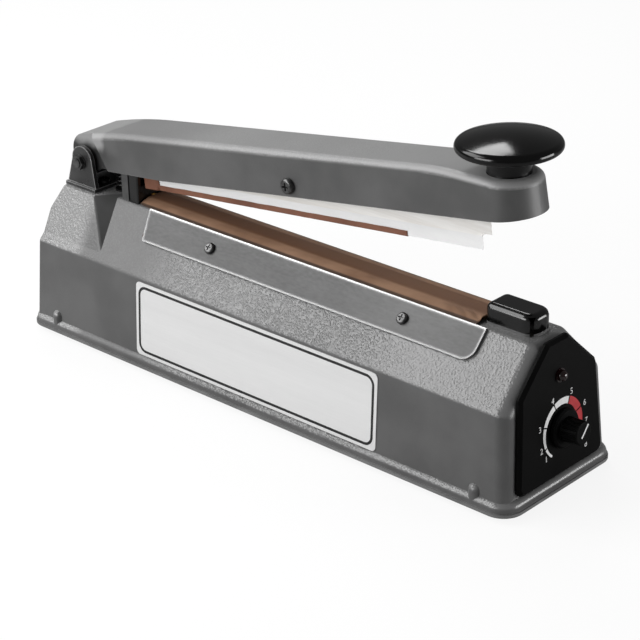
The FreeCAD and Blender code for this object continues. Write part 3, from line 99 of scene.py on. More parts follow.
def setStudio(plan):
    world = bpy.data.worlds.new("studioWorld")
    scene.world = world
    world.use_nodes = True
    tree = world.node_tree
    tree.nodes.clear()
    lit = tree.nodes.new("ShaderNodeBackground")
    lit.inputs["Color"].default_value = plan["ambientTone"]
    lit.inputs["Strength"].default_value = plan["ambient"]
    seen = tree.nodes.new("ShaderNodeBackground")
    seen.inputs["Color"].default_value = (1, 1, 1, 1)
    mix = tree.nodes.new("ShaderNodeMixShader")
    output = tree.nodes.new("ShaderNodeOutputWorld")
    tree.links.new(seenRays(tree), mix.inputs[0])
    tree.links.new(lit.outputs[0], mix.inputs[1])
    tree.links.new(seen.outputs[0], mix.inputs[2])
    tree.links.new(mix.outputs[0], output.inputs["Surface"])
    for name, (spot, aim, width, height, watts) in plan["lamps"].items():
        data = bpy.data.lights.new(name, "AREA")
        data.shape = "RECTANGLE"
        data.size, data.size_y, data.energy = width, height, watts
        lamp = bpy.data.objects.new(name, data)
        lamp.location = spot
        lamp.rotation_euler = (Vector(aim) - Vector(spot)).to_track_quat("-Z", "Y").to_euler()
        scene.collection.objects.link(lamp)
    mesh = bpy.data.meshes.new("studioFloor")
    reach = 6.0
    mesh.from_pydata([(-reach, -reach, 0), (reach, -reach, 0), (reach, reach, 0), (-reach, reach, 0)], [],
                     [(0, 1, 2, 3)])
    floor = bpy.data.objects.new("studioFloor", mesh)
    scene.collection.objects.link(floor)
    material = bpy.data.materials.new("paleFloor")
    material.use_nodes = True
    tree = material.node_tree
    tree.nodes.clear()
    seen = seenRays(tree)
    matt = tree.nodes.new("ShaderNodeBsdfDiffuse")
    tone = tree.nodes.new("ShaderNodeMix")
    tone.data_type = "RGBA"
    tone.inputs[6].default_value = plan["floorBounce"]
    tone.inputs[7].default_value = plan["floorSeen"]
    tree.links.new(seen, tone.inputs[0])
    tree.links.new(tone.outputs[2], matt.inputs["Color"])
    glow = tree.nodes.new("ShaderNodeEmission")
    glow.inputs["Color"].default_value = (1, 1, 1, 1)
    share = tree.nodes.new("ShaderNodeMath")
    share.operation = "MULTIPLY"
    share.inputs[1].default_value = plan["floorGlow"]
    mix = tree.nodes.new("ShaderNodeMixShader")
    output = tree.nodes.new("ShaderNodeOutputMaterial")
    tree.links.new(seen, share.inputs[0])
    tree.links.new(share.outputs[0], mix.inputs[0])
    tree.links.new(matt.outputs[0], mix.inputs[1])
    tree.links.new(glow.outputs[0], mix.inputs[2])
    tree.links.new(mix.outputs[0], output.inputs["Surface"])
    floor.data.materials.append(material)


setCamera(cameraView)
setStudio(studio)
print("camera and studio set")

# Effects that several finishes share


def newGroup(name, inputs, outputs):
    kinds = {"vector": "NodeSocketVector", "value": "NodeSocketFloat", "colour": "NodeSocketColor"}
    group = bpy.data.node_groups.new(name, "ShaderNodeTree")
    for side, sockets in (("INPUT", inputs), ("OUTPUT", outputs)):
        for label, kind in sockets.items():
            group.interface.new_socket(name=label, in_out=side, socket_type=kinds[kind])
    return group, group.nodes.new("NodeGroupInput").outputs, group.nodes.new("NodeGroupOutput").inputs


def addNode(tree, kind, **settings):
    # a node with its options and sockets set: a socket's number or link goes in by the socket's name
    made = tree.nodes.new("ShaderNode" + kind)
    sockets = settings.pop("sockets", {})
    for key, value in settings.items():
        setattr(made, key, value)
    for label, value in sockets.items():
        socket = made.inputs[label]
        if isinstance(value, bpy.types.NodeSocket):
            tree.links.new(value, socket)
        else:
            socket.default_value = value
    return made


def maths(tree, operation, first, second=0.0, clamp=False):
    sockets = {0: first, 1: second}
    return addNode(tree, "Math", operation=operation, use_clamp=clamp, sockets=sockets).outputs[0]


def span(tree, value, low, high, toLow=0.0, toHigh=1.0):
    # a smooth step from one level to another
    sockets = {"Value": value, "From Min": low, "From Max": high, "To Min": toLow, "To Max": toHigh}
    return addNode(tree, "MapRange", interpolation_type="SMOOTHSTEP", sockets=sockets).outputs["Result"]


def mixTone(tree, share, first, second):
    made = addNode(tree, "Mix", data_type="RGBA")
    for socket, value in ((made.inputs[0], share), (made.inputs[6], first), (made.inputs[7], second)):
        if isinstance(value, bpy.types.NodeSocket):
            tree.links.new(value, socket)
        else:
            socket.default_value = value
    return made.outputs[2]


paintZones = {  # stretches of X in metres over which the paint changes
    "rear": (-0.128, -0.118), "beside": (-0.085, -0.045), "turned": (-0.10, -0.09), "front": (0.04, 0.10),
    "besideGrain": 0.7, "besideDull": 0.35, "frontGrain": 0.35,
}


def hammerGroup():
    # leathery paint on upward faces, with round cells, and a smoother coat on upright ones. Upward faces are
    # painted lighter than upright ones, and the cells' domes lighter still: painted light. The smooth stretch
    # beside the hinge's seat is pulled back towards the upright tone and dulled, the seat's upward faces get
    # painted light, and what looks forward there gets painted shade
    group, given, result = newGroup(
        "hammerFinish",
        {"Vector": "vector", "Cells": "value", "Tone": "colour", "Top": "colour", "Crest": "colour",
         "Shade": "colour", "Rough": "value", "Worn": "value", "Rear": "value", "Turned": "value"},
        {"Color": "colour", "Roughness": "value", "Height": "value"})
    wander = addNode(group, "TexNoise", sockets={"Vector": given["Vector"], "Scale": 520.0, "Detail": 2.0})
    shift = addNode(group, "VectorMath", operation="MULTIPLY_ADD",
                    sockets={0: wander.outputs["Color"], 1: (0.0012, 0.0012, 0.0012), 2: given["Vector"]})
    cells = addNode(group, "TexVoronoi", feature="SMOOTH_F1",
                    sockets={"Vector": shift.outputs[0], "Scale": given["Cells"], "Smoothness": 0.5})
    fine = addNode(group, "TexNoise", sockets={"Vector": given["Vector"], "Scale": 2100.0, "Detail": 3.0})
    cloud = addNode(group, "TexNoise", sockets={"Vector": given["Vector"], "Scale": 34.0, "Detail": 4.0})
    patch = addNode(group, "TexNoise", sockets={"Vector": given["Vector"], "Scale": 13.0, "Detail": 1.0})
    geometry = addNode(group, "NewGeometry")
    facing = addNode(group, "SeparateXYZ", sockets={0: geometry.outputs["Normal"]})
    place = addNode(group, "SeparateXYZ", sockets={0: given["Vector"]})
    rear = span(group, place.outputs["X"], *paintZones["rear"], 1.0, 0.0)
    beside = maths(group, "MULTIPLY", span(group, place.outputs["X"], *paintZones["beside"], 1.0, 0.0),
                   maths(group, "SUBTRACT", 1.0, rear))
    smooth = span(group, facing.outputs["X"], 0.25, 0.45, 1.0, 0.15)
    turned = maths(group, "MULTIPLY", maths(group, "SUBTRACT", 1.0, smooth),
                   span(group, place.outputs["X"], *paintZones["turned"], given["Turned"], 0.0))
    lying = maths(group, "MULTIPLY", span(group, facing.outputs["Z"], 0.12, 0.52, 0.04, 1.0),
                  maths(group, "SUBTRACT", 1.0, turned))
    rubbed = maths(group, "SUBTRACT", 1.0, maths(group, "MULTIPLY", beside, paintZones["besideGrain"]))
    worked = maths(group, "MULTIPLY", span(group, patch.outputs["Fac"], 0.34, 0.58, 0.7, 1.0),
                   maths(group, "MULTIPLY", smooth, rubbed))
    worked = maths(group, "MULTIPLY", worked,
                   span(group, place.outputs["X"], *paintZones["front"], 1.0, paintZones["frontGrain"]))
    grain = maths(group, "MULTIPLY", lying, worked)
    dome = span(group, cells.outputs["Distance"], 0.05, 0.75, 1.0, 0.0)
    peel = maths(group, "MULTIPLY_ADD", fine.outputs["Fac"], 0.35)
    group.links.new(dome, peel.node.inputs[2])
    group.links.new(maths(group, "MULTIPLY", peel, grain), result["Height"])
    blotch = span(group, cloud.outputs["Fac"], 0.3, 0.7)
    # cell domes lighter: a painted highlight on the bumps; the cloud's blotches are the paint's own mottle
    share = maths(group, "ADD", maths(group, "MULTIPLY", maths(group, "MULTIPLY", dome, grain), 0.34),
                  maths(group, "MULTIPLY", blotch, 0.10))
    # painted light on the upward faces of the hinge's seat
    raised = maths(group, "MULTIPLY", maths(group, "MULTIPLY", rear, lying), given["Rear"])
    share = maths(group, "ADD", share, raised, clamp=True)
    # upward faces painted lighter than upright ones: painted light
    under = mixTone(group, lying, given["Tone"], given["Top"])
    # the stretch beside the seat is pulled back towards the upright tone and dulled
    worn = maths(group, "MULTIPLY", beside, given["Worn"])
    under = mixTone(group, worn, under, given["Tone"])
    # painted shade on the faces that look forward at the seat
    under = mixTone(group, turned, under, given["Shade"])
    group.links.new(mixTone(group, share, under, given["Crest"]), result["Color"])
    rough = maths(group, "MULTIPLY_ADD", cloud.outputs["Fac"], 0.12)
    group.links.new(given["Rough"], rough.node.inputs[2])
    dull = maths(group, "MULTIPLY", worn, paintZones["besideDull"])
    group.links.new(maths(group, "ADD", rough, dull), result["Roughness"])
    return group


def grainGroup():
    # mottled tone, roughness and a fine grain, from one cloud and one close noise; Stretch draws them out
    group, given, result = newGroup(
        "grainFinish",
        {"Vector": "vector", "Stretch": "vector", "Cloud": "value", "Grain": "value", "Dark": "colour",
         "Light": "colour", "Rough Low": "value", "Rough High": "value"},
        {"Color": "colour", "Roughness": "value", "Height": "value", "Mask": "value"})
    drawn = addNode(group, "VectorMath", operation="MULTIPLY",
                    sockets={0: given["Vector"], 1: given["Stretch"]}).outputs[0]
    cloud = addNode(group, "TexNoise", sockets={"Vector": drawn, "Scale": given["Cloud"], "Detail": 5.0,
                                                "Roughness": 0.62})
    grain = addNode(group, "TexNoise", sockets={"Vector": drawn, "Scale": given["Grain"], "Detail": 3.0})
    blotch = span(group, cloud.outputs["Fac"], 0.32, 0.68)
    speck = maths(group, "MULTIPLY", grain.outputs["Fac"], 0.4)
    share = maths(group, "MULTIPLY_ADD", blotch, 0.6)
    group.links.new(speck, share.node.inputs[2])
    group.links.new(mixTone(group, share, given["Dark"], given["Light"]), result["Color"])
    rough = addNode(group, "MapRange", sockets={"Value": share, "To Min": given["Rough Low"],
                                                "To Max": given["Rough High"]})
    group.links.new(rough.outputs["Result"], result["Roughness"])
    group.links.new(grain.outputs["Fac"], result["Height"])
    group.links.new(blotch, result["Mask"])
    return group


def weaveGroup():
    # plain weave on a flat map in metres: two sets of threads, over and under in turn, with painted shade
    # along the middle, where the top lies under the arm, and painted shade where it goes in under a plate,
    # past Tuck
    group, given, result = newGroup(
        "weaveFinish",
        {"Vector": "vector", "Threads": "value", "Dark": "colour", "Light": "colour", "Rough": "value",
         "Scorch": "colour", "Top Shade Half": "value", "Tuck": "value", "Shade": "colour"},
        {"Color": "colour", "Roughness": "value", "Height": "value"})
    parts = addNode(group, "SeparateXYZ", sockets={0: given["Vector"]})
    waves = []
    for axis in ("X", "Y"):
        turned = maths(group, "MULTIPLY", parts.outputs[axis], given["Threads"])
        waves.append(maths(group, "SINE", maths(group, "MULTIPLY", turned, math.tau)))
    checker = maths(group, "MULTIPLY", waves[0], waves[1])
    weave = span(group, checker, -1.0, 1.0)
    cloud = addNode(group, "TexNoise", sockets={"Vector": given["Vector"], "Scale": 45.0, "Detail": 5.0})
    streak = addNode(group, "VectorMath", operation="MULTIPLY",
                     sockets={0: given["Vector"], 1: (0.12, 1.0, 1.0)})
    draw = addNode(group, "TexNoise", sockets={"Vector": streak.outputs[0], "Scale": 160.0, "Detail": 3.0})
    blotch = span(group, cloud.outputs["Fac"], 0.3, 0.7)
    blend = maths(group, "ADD", maths(group, "MULTIPLY", weave, 0.22), maths(group, "MULTIPLY", blotch, 0.45))
    blend = maths(group, "ADD", blend, maths(group, "MULTIPLY", draw.outputs["Fac"], 0.3))
    middle = maths(group, "ABSOLUTE", parts.outputs["Y"])
    # painted shade along the middle, on the top under the arm
    away = maths(group, "SUBTRACT", given["Top Shade Half"], middle)
    uneven = maths(group, "ADD", away, maths(group, "MULTIPLY", draw.outputs["Fac"], 0.0012))
    topShaded = span(group, uneven, -0.0006, 0.0012, 0.0, 0.85)
    cloth = mixTone(group, blend, given["Dark"], given["Light"])
    cloth = mixTone(group, topShaded, cloth, given["Scorch"])
    # painted shade where the cloth goes in under a plate
    under = span(group, maths(group, "SUBTRACT", middle, given["Tuck"]), -0.0008, 0.0002, 0.0, 0.85)
    group.links.new(mixTone(group, under, cloth, given["Shade"]), result["Color"])
    rough = maths(group, "MULTIPLY_ADD", blotch, 0.14)
    group.links.new(given["Rough"], rough.node.inputs[2])
    group.links.new(rough, result["Roughness"])
    group.links.new(weave, result["Height"])
    return group


def wearAndSheenGroup():
    # edges that are worn and carry a painted highlight: the rounded normal leaves the true one, broken up by
    # noise; Lower is the share that edges keep where the rounded normal doesn't rise, so the painted
    # highlight sits mostly on upper edges
    group, given, result = newGroup(
        "edgeWearAndSheen", {"Vector": "vector", "Reach": "value", "Whole": "value", "Lower": "value"},
        {"Mask": "value"})
    soft = addNode(group, "Bevel", samples=4, sockets={"Radius": given["Reach"]})
    geometry = addNode(group, "NewGeometry")
    along = addNode(group, "VectorMath", operation="DOT_PRODUCT",
                    sockets={0: soft.outputs[0], 1: geometry.outputs["Normal"]})
    edge = span(group, along.outputs["Value"], 0.72, 0.99, 1.0, 0.0)
    noise = addNode(group, "TexNoise", sockets={"Vector": given["Vector"], "Scale": 260.0, "Detail": 4.0})
    broken = span(group, noise.outputs["Fac"], 0.35, 0.65)
    kept = maths(group, "MAXIMUM", broken, given["Whole"])
    heights = [addNode(group, "SeparateXYZ", sockets={0: normal}).outputs["Z"]
               for normal in (soft.outputs[0], geometry.outputs["Normal"])]
    upper = span(group, maths(group, "SUBTRACT", *heights), 0.0, 0.12, given["Lower"], 1.0)
    group.links.new(maths(group, "MULTIPLY", maths(group, "MULTIPLY", edge, kept), upper), result["Mask"])
    return group


def recessGroup():
    # painted shade in a recess: behind one X, inside one distance from the middle plane, under one height;
    # the crown is what lies over that height, where a painted highlight goes
    group, given, result = newGroup(
        "recessShade", {"Vector": "vector", "Behind": "value", "Inside": "value", "Under": "value"},
        {"Mask": "value", "Crown": "value"})
    parts = addNode(group, "SeparateXYZ", sockets={0: given["Vector"]})
    noise = addNode(group, "TexNoise", sockets={"Vector": given["Vector"], "Scale": 120.0, "Detail": 4.0})
    ragged = maths(group, "MULTIPLY", maths(group, "SUBTRACT", noise.outputs["Fac"], 0.5), 0.006)
    behind = maths(group, "SUBTRACT", given["Behind"], maths(group, "ADD", parts.outputs["X"], ragged))
    inside = maths(group, "SUBTRACT", given["Inside"], maths(group, "ABSOLUTE", parts.outputs["Y"]))
    under = maths(group, "SUBTRACT", given["Under"], maths(group, "ADD", parts.outputs["Z"], ragged))
    mask = maths(group, "MULTIPLY", span(group, behind, 0.0, 0.014), span(group, inside, 0.0, 0.0012))
    depth = span(group, under, 0.0, 0.006)
    group.links.new(maths(group, "MULTIPLY", mask, depth), result["Mask"])
    crown = maths(group, "MULTIPLY", span(group, behind, 0.013, 0.016), maths(group, "SUBTRACT", 1.0, depth))
    group.links.new(crown, result["Crown"])
    return group


hammerFinish = hammerGroup()
grainFinish = grainGroup()
weaveFinish = weaveGroup()
edgeWearAndSheen = wearAndSheenGroup()
recessShade = recessGroup()
print("shared effects built")

# Finishes


def srgb(red, green, blue):
    # a colour written as it looks, 0 to 255, made linear
    levels = np.array((red, green, blue)) / 255
    linear = np.where(levels <= 0.04045, levels / 12.92, ((levels + 0.055) / 1.055) ** 2.4)
    return (*(float(level) for level in linear), 1.0)


def grey(level):
    return srgb(level, level, level)


def newFinish(name, shader):
    material = bpy.data.materials.new(name)
    material.use_nodes = True
    tree = material.node_tree
    tree.nodes.clear()
    output = tree.nodes.new("ShaderNodeOutputMaterial")
    surface = tree.nodes.new("ShaderNodeBsdfPrincipled")
    tree.links.new(surface.outputs[0], output.inputs["Surface"])
    for label, value in shader.items():
        surface.inputs[label].default_value = value
    return material, tree, surface


def wireEffect(tree, surface, group, values, bump, wearSheen=None, recess=None):
    # the group's colour, roughness and height go to the shader, with worn edges carrying a painted highlight,
    # and the painted shade and highlight of a recess, over the colour if asked
    effect = addNode(tree, "Group", node_tree=group)
    place = addNode(tree, "TexCoord").outputs[values.pop("from", "Object")]
    tree.links.new(place, effect.inputs["Vector"])
    for label, value in values.items():
        effect.inputs[label].default_value = value
    colour = effect.outputs["Color"]
    # worn edges with a painted highlight, in the edge tone
    if wearSheen:
        worn = addNode(tree, "Group", node_tree=edgeWearAndSheen)
        tree.links.new(place, worn.inputs["Vector"])
        worn.inputs["Reach"].default_value = wearSheen["reach"]
        worn.inputs["Whole"].default_value = wearSheen.get("whole", 0.0)
        worn.inputs["Lower"].default_value = wearSheen.get("lower", 1.0)
        share = maths(tree, "MULTIPLY", worn.outputs["Mask"], wearSheen["share"])
        colour = mixTone(tree, share, colour, wearSheen["tone"])
    # painted shade in the recess, and a painted highlight on the crown over it
    if recess:
        recessShading = addNode(tree, "Group", node_tree=recessShade)
        tree.links.new(place, recessShading.inputs["Vector"])
        for label in ("Behind", "Inside", "Under"):
            recessShading.inputs[label].default_value = recess[label.lower()]
        share = maths(tree, "MULTIPLY", recessShading.outputs["Mask"], recess["share"])
        colour = mixTone(tree, share, colour, recess["tone"])
        bright = maths(tree, "MULTIPLY", recessShading.outputs["Crown"], recess["crownShare"])
        colour = mixTone(tree, bright, colour, recess["crown"])
    tree.links.new(colour, surface.inputs["Base Color"])
    tree.links.new(effect.outputs["Roughness"], surface.inputs["Roughness"])
    relief = addNode(tree, "Bump", sockets={"Strength": bump[0], "Distance": bump[1],
                                            "Height": effect.outputs["Height"]})
    tree.links.new(relief.outputs["Normal"], surface.inputs["Normal"])


def hammerPaint(name, plan):
    material, tree, surface = newFinish(name, plan["shader"])
    values = {"Cells": plan["cells"], "Tone": plan["tone"], "Top": plan["top"], "Crest": plan["crest"],
              "Rough": plan["rough"], "Shade": plan["shade"], "Worn": plan["worn"], "Rear": plan["rear"],
              "Turned": plan["turned"]}
    wireEffect(tree, surface, hammerFinish, values, plan["bump"], plan.get("wearSheen"), plan.get("recess"))
    return material


def grained(name, plan):
    material, tree, surface = newFinish(name, plan.get("shader", {}))
    values = {"Stretch": plan.get("stretch", (1, 1, 1)), "Cloud": plan["cloud"], "Grain": plan["grain"],
              "Dark": plan["dark"], "Light": plan["light"], "Rough Low": plan["rough"][0],
              "Rough High": plan["rough"][1]}
    wireEffect(tree, surface, grainFinish, values, plan["bump"], plan.get("wearSheen"))
    return material


def woven(name, plan):
    material, tree, surface = newFinish(name, plan.get("shader", {}))
    values = {"from": "UV", "Threads": plan["threads"], "Dark": plan["dark"], "Light": plan["light"],
              "Rough": plan["rough"], "Scorch": plan["scorch"], "Top Shade Half": plan["topShadeHalf"],
              "Tuck": plan["tuck"], "Shade": plan["shade"]}
    wireEffect(tree, surface, weaveFinish, values, plan["bump"])
    return material


# casting paint: upward faces painted lighter than the walls, the hinge seat lighter still (painted light),
# forward-looking faces at the seat in painted shade, and edges with wear and a painted highlight
castingPaint = {"tone": grey(72), "top": grey(100), "crest": grey(152), "rough": 0.26, "cells": 860.0,
                "shade": grey(30), "worn": 0.65, "rear": 0.5, "turned": 0.95, "bump": (0.72, 0.0005),
                "shader": {"Specular IOR Level": 0.75},
                "wearSheen": {"reach": 0.0012, "share": 0.25, "tone": grey(160)}}
# arm paint: the top painted far lighter than the sides (painted light), edges with wear and a painted
# highlight, painted shade in the recess at the hinge and a painted highlight on the crown over it
armPaint = {"tone": grey(60), "top": grey(136), "crest": grey(158), "rough": 0.38, "cells": 1150.0,
            "shade": grey(60), "worn": 0.3, "rear": 0.0, "turned": 0.0, "bump": (0.28, 0.0003),
            "shader": {"Specular IOR Level": 0.6},
            "wearSheen": {"reach": 0.0012, "share": 0.15, "tone": grey(160)},
            "recess": {"behind": -0.106, "inside": 0.0172, "under": 0.1040, "share": 0.92, "tone": grey(14),
                       "crownShare": 0.7, "crown": grey(150)}}

plainFinishes = {
    # the lighter edges of the black mouldings and the panel are wear with a painted highlight
    "blackMoulding": {"dark": grey(8), "light": grey(14), "rough": (0.36, 0.52),
                      "cloud": 60.0, "grain": 2600.0,
                      "bump": (0.10, 0.0002), "shader": {"Specular IOR Level": 0.25},
                      "wearSheen": {"reach": 0.0006, "share": 0.30, "tone": grey(60)}},
    "panelBlack": {"dark": grey(3), "light": grey(6), "rough": (0.44, 0.60), "cloud": 60.0, "grain": 2600.0,
                   "bump": (0.10, 0.0002), "shader": {"Specular IOR Level": 0.06},
                   "wearSheen": {"reach": 0.0008, "share": 0.30, "tone": grey(52)}},
    "blackGloss": {"dark": grey(2), "light": grey(4), "rough": (0.10, 0.16), "cloud": 45.0, "grain": 900.0,
                   "bump": (0.05, 0.0002), "shader": {"Specular IOR Level": 0.36}},
    "blackSatin": {"dark": grey(3), "light": grey(6), "rough": (0.10, 0.17), "cloud": 80.0, "grain": 1600.0,
                   "bump": (0.05, 0.0002), "shader": {"Specular IOR Level": 0.55}},
    # the terminal posts' grey is set dark to stand for the shade under the arm: painted shade
    "greyPost": {"dark": grey(52), "light": grey(78), "rough": (0.40, 0.56), "cloud": 90.0, "grain": 1500.0,
                 "bump": (0.10, 0.0002)},
    "screwSteel": {"dark": grey(40), "light": grey(112), "rough": (0.24, 0.42),
                   "cloud": 260.0, "grain": 1800.0,
                   "bump": (0.14, 0.0002), "shader": {"Metallic": 0.85}},
    # dark steel of the spring, and on the bracket screws painted shade inside the bracket
    "blackSteelAndShade": {"dark": grey(18), "light": grey(36), "rough": (0.22, 0.40),
                   "cloud": 160.0, "grain": 1800.0,
                   "bump": (0.12, 0.0002), "shader": {"Metallic": 0.4}},
    "whiteMoulding": {"dark": srgb(221, 217, 211), "light": srgb(252, 251, 249), "rough": (0.34, 0.52),
                      "cloud": 130.0, "grain": 1500.0,
                      "stretch": (0.06, 1, 1), "bump": (0.10, 0.0002)},
    "whiteSilicone": {"dark": grey(228), "light": grey(242), "rough": (0.48, 0.62),
                      "cloud": 60.0, "grain": 1800.0,
                      "stretch": (0.25, 1, 1), "bump": (0.12, 0.0002),
                      "shader": {"Subsurface Weight": 0.08, "Subsurface Radius": (0.002, 0.002, 0.002)}},
    # clamp plates and heat sink: the broad mottle is a painted reflection and the near-white upper edges a
    # painted highlight
    "brightPlate": {"dark": grey(38), "light": grey(100), "rough": (0.36, 0.54),
                    "cloud": 16.0, "grain": 900.0,
                    "stretch": (0.35, 1, 1), "bump": (0.10, 0.0002), "shader": {"Metallic": 0.6},
                    "wearSheen": {"reach": 0.0024, "share": 1.0, "tone": grey(252), "whole": 0.9, "lower": 0.45}},
    "brightSteel": {"dark": grey(150), "light": grey(204), "rough": (0.18, 0.34),
                    "cloud": 220.0, "grain": 1800.0,
                    "bump": (0.08, 0.0002), "shader": {"Metallic": 1.0}},
    # hinge bracket: its bright rims are a painted highlight along the edges, with wear
    "darkSteel": {"dark": grey(30), "light": grey(60), "rough": (0.24, 0.40), "cloud": 90.0, "grain": 1800.0,
                  "bump": (0.12, 0.0002), "shader": {"Metallic": 0.15},
                  "wearSheen": {"reach": 0.0011, "share": 0.9, "tone": grey(225), "whole": 0.6, "lower": 0.5}},
    "greySheet": {"dark": grey(120), "light": grey(150), "rough": (0.42, 0.58),
                  "cloud": 40.0, "grain": 1200.0,
                  "bump": (0.10, 0.0002), "shader": {"Metallic": 0.7}},
    "laminatedSteel": {"dark": grey(64), "light": grey(120), "rough": (0.40, 0.60),
                       "cloud": 50.0, "grain": 900.0,
                       "stretch": (0.02, 2.2, 0.02), "bump": (0.5, 0.0004), "shader": {"Metallic": 0.8}},
    "copperWinding": {"dark": srgb(120, 58, 26), "light": srgb(190, 104, 52), "rough": (0.26, 0.42),
                      "cloud": 60.0,
                      "grain": 700.0, "stretch": (0.05, 0.05, 2.0), "bump": (0.6, 0.0005),
                      "shader": {"Metallic": 0.7}},
    "bronze": {"dark": srgb(126, 92, 48), "light": srgb(176, 138, 80), "rough": (0.30, 0.46), "cloud": 140.0,
               "grain": 2200.0, "bump": (0.10, 0.0002), "shader": {"Metallic": 1.0}},
    "heatingAlloy": {"dark": srgb(150, 138, 104), "light": srgb(206, 196, 160), "rough": (0.24, 0.40),
                     "cloud": 120.0, "grain": 1600.0, "stretch": (0.1, 1, 1), "bump": (0.08, 0.0002),
                     "shader": {"Metallic": 1.0}},
    "barLaminate": {"dark": srgb(88, 66, 46), "light": srgb(126, 98, 70), "rough": (0.46, 0.62),
                    "cloud": 70.0,
                    "grain": 900.0, "stretch": (0.15, 1, 1), "bump": (0.12, 0.0002)},
    "boardGreen": {"dark": srgb(22, 70, 44), "light": srgb(36, 96, 60), "rough": (0.30, 0.44), "cloud": 90.0,
                   "grain": 1100.0, "bump": (0.10, 0.0002)},
    "relayCase": {"dark": srgb(34, 62, 110), "light": srgb(52, 84, 136), "rough": (0.32, 0.46), "cloud": 60.0,
                  "grain": 1500.0, "bump": (0.08, 0.0002)},
    "footRubber": {"dark": grey(22), "light": grey(36), "rough": (0.62, 0.82),
                   "cloud": 120.0, "grain": 2400.0,
                   "bump": (0.22, 0.0003)},
    "silverFilm": {"dark": grey(214), "light": grey(228), "rough": (0.34, 0.46),
                   "cloud": 30.0, "grain": 1400.0,
                   "stretch": (0.06, 1, 1), "bump": (0.05, 0.0002), "shader": {"Metallic": 0.25}},
    "blackPrint": {"dark": grey(16), "light": grey(26), "rough": (0.40, 0.52),
                   "cloud": 200.0, "grain": 2200.0,
                   "bump": (0.05, 0.0001)},
    "whitePrint": {"dark": grey(222), "light": grey(238), "rough": (0.42, 0.54),
                   "cloud": 200.0, "grain": 2200.0,
                   "bump": (0.05, 0.0001)},
    "redPrint": {"dark": srgb(168, 26, 34), "light": srgb(190, 38, 46), "rough": (0.40, 0.52), "cloud": 200.0,
                 "grain": 2200.0, "bump": (0.05, 0.0001)},
    "redLens": {"dark": srgb(15, 2, 3), "light": srgb(26, 3, 5), "rough": (0.08, 0.16), "cloud": 200.0,
                "grain": 1600.0, "bump": (0.04, 0.0001),
                "shader": {"Coat Weight": 0.2, "Coat Roughness": 0.12}},
}
# the cloth's darker middle and tucked edges are painted shade; the tape's values keep them off
clothFinishes = {
    "brownCloth": {"dark": srgb(113, 84, 65), "light": srgb(158, 126, 102), "rough": 0.46, "threads": 1300.0,
                   "scorch": srgb(100, 70, 51), "topShadeHalf": 0.0046, "tuck": 0.0107,
                   "shade": srgb(50, 42, 38), "bump": (0.22, 0.0002), "shader": {"Specular IOR Level": 0.2}},
    "brownTape": {"dark": srgb(104, 68, 54), "light": srgb(146, 102, 82), "rough": 0.46, "threads": 1300.0,
                  "scorch": srgb(98, 58, 44), "topShadeHalf": -0.01, "tuck": 0.1,
                  "shade": srgb(50, 42, 38), "bump": (0.20, 0.0002), "shader": {"Specular IOR Level": 0.2}},
}
clearGlass = {"shader": {"Base Color": (0.95, 0.92, 0.88, 1), "Transmission Weight": 1.0, "IOR": 1.47},
              "rough": (0.02, 0.08)}


def glassFinish(name, plan):
    material, tree, surface = newFinish(name, plan["shader"])
    place = addNode(tree, "TexCoord").outputs["Object"]
    smear = addNode(tree, "TexNoise", sockets={"Vector": place, "Scale": 600.0})
    low, high = plan["rough"]
    tree.links.new(span(tree, smear.outputs["Fac"], 0.3, 0.7, low, high), surface.inputs["Roughness"])
    return material


finishes = {"castingPaint": hammerPaint("castingPaint", castingPaint),
            "armPaint": hammerPaint("armPaint", armPaint)}
for finishName, finishPlan in plainFinishes.items():
    finishes[finishName] = grained(finishName, finishPlan)
for finishName, finishPlan in clothFinishes.items():
    finishes[finishName] = woven(finishName, finishPlan)
finishes["clearGlass"] = glassFinish("clearGlass", clearGlass)

nodeFinish = {
    "castingPaint": "base_casting",
    "armPaint": "pressing_arm",
    "blackMoulding": "cable_gland gland_nut microswitch_body potentiometer push_rod push_rod_bush "
                     "terminal_strip board_capacitors",
    "panelBlack": "control_panel timer_knob",
    "blackSatin": "front_terminal_cap rear_terminal_cap",
    "blackGloss": "press_knob",
    "greyPost": "terminal_bases",
    "whiteMoulding": "seal_bar_rail rail_spacers",
    "whiteSilicone": "silicone_strip",
    "brightPlate": "front_clamp_plate rear_clamp_plate triac_heat_sink",
    "screwSteel": "arm_side_screw arm_side_nut front_clamp_plate_screws rear_clamp_plate_screws hinge_nut "
                  "hinge_pin hinge_washers",
    "blackSteelAndShade": "bracket_screws return_spring",
    "brightSteel": "terminal_screws knob_stud potentiometer_nut potentiometer_shaft microswitch_lever "
                   "switch_screws transformer_nuts transformer_screws board_posts bottom_plate_screws",
    "darkSteel": "hinge_bracket",
    "greySheet": "bottom_plate switch_bracket transformer_strap",
    "laminatedSteel": "transformer_core",
    "copperWinding": "transformer_coil",
    "bronze": "hinge_bushes terminal_clamps",
    "heatingAlloy": "heating_element",
    "barLaminate": "heating_bar",
    "boardGreen": "timer_board",
    "relayCase": "board_relay",
    "redLens": "indicator_lens",
    "clearGlass": "neon_bulb",
    "footRubber": "rubber_feet",
    "silverFilm": "nameplate",
    "whitePrint": "timer_pointer",
    "brownCloth": "ptfe_cloth",
    "brownTape": "seal_tape",
}
for finishName, names in nodeFinish.items():
    for nodeName in names.split():
        nodes[nodeName].data.materials.clear()
        nodes[nodeName].data.materials.append(finishes[finishName])
bare = sorted(set(nodes) - set(" ".join(nodeFinish.values()).split()))
print("finishes given to", len(nodes) - len(bare), "nodes; without:", bare)

# Pieces worked out here


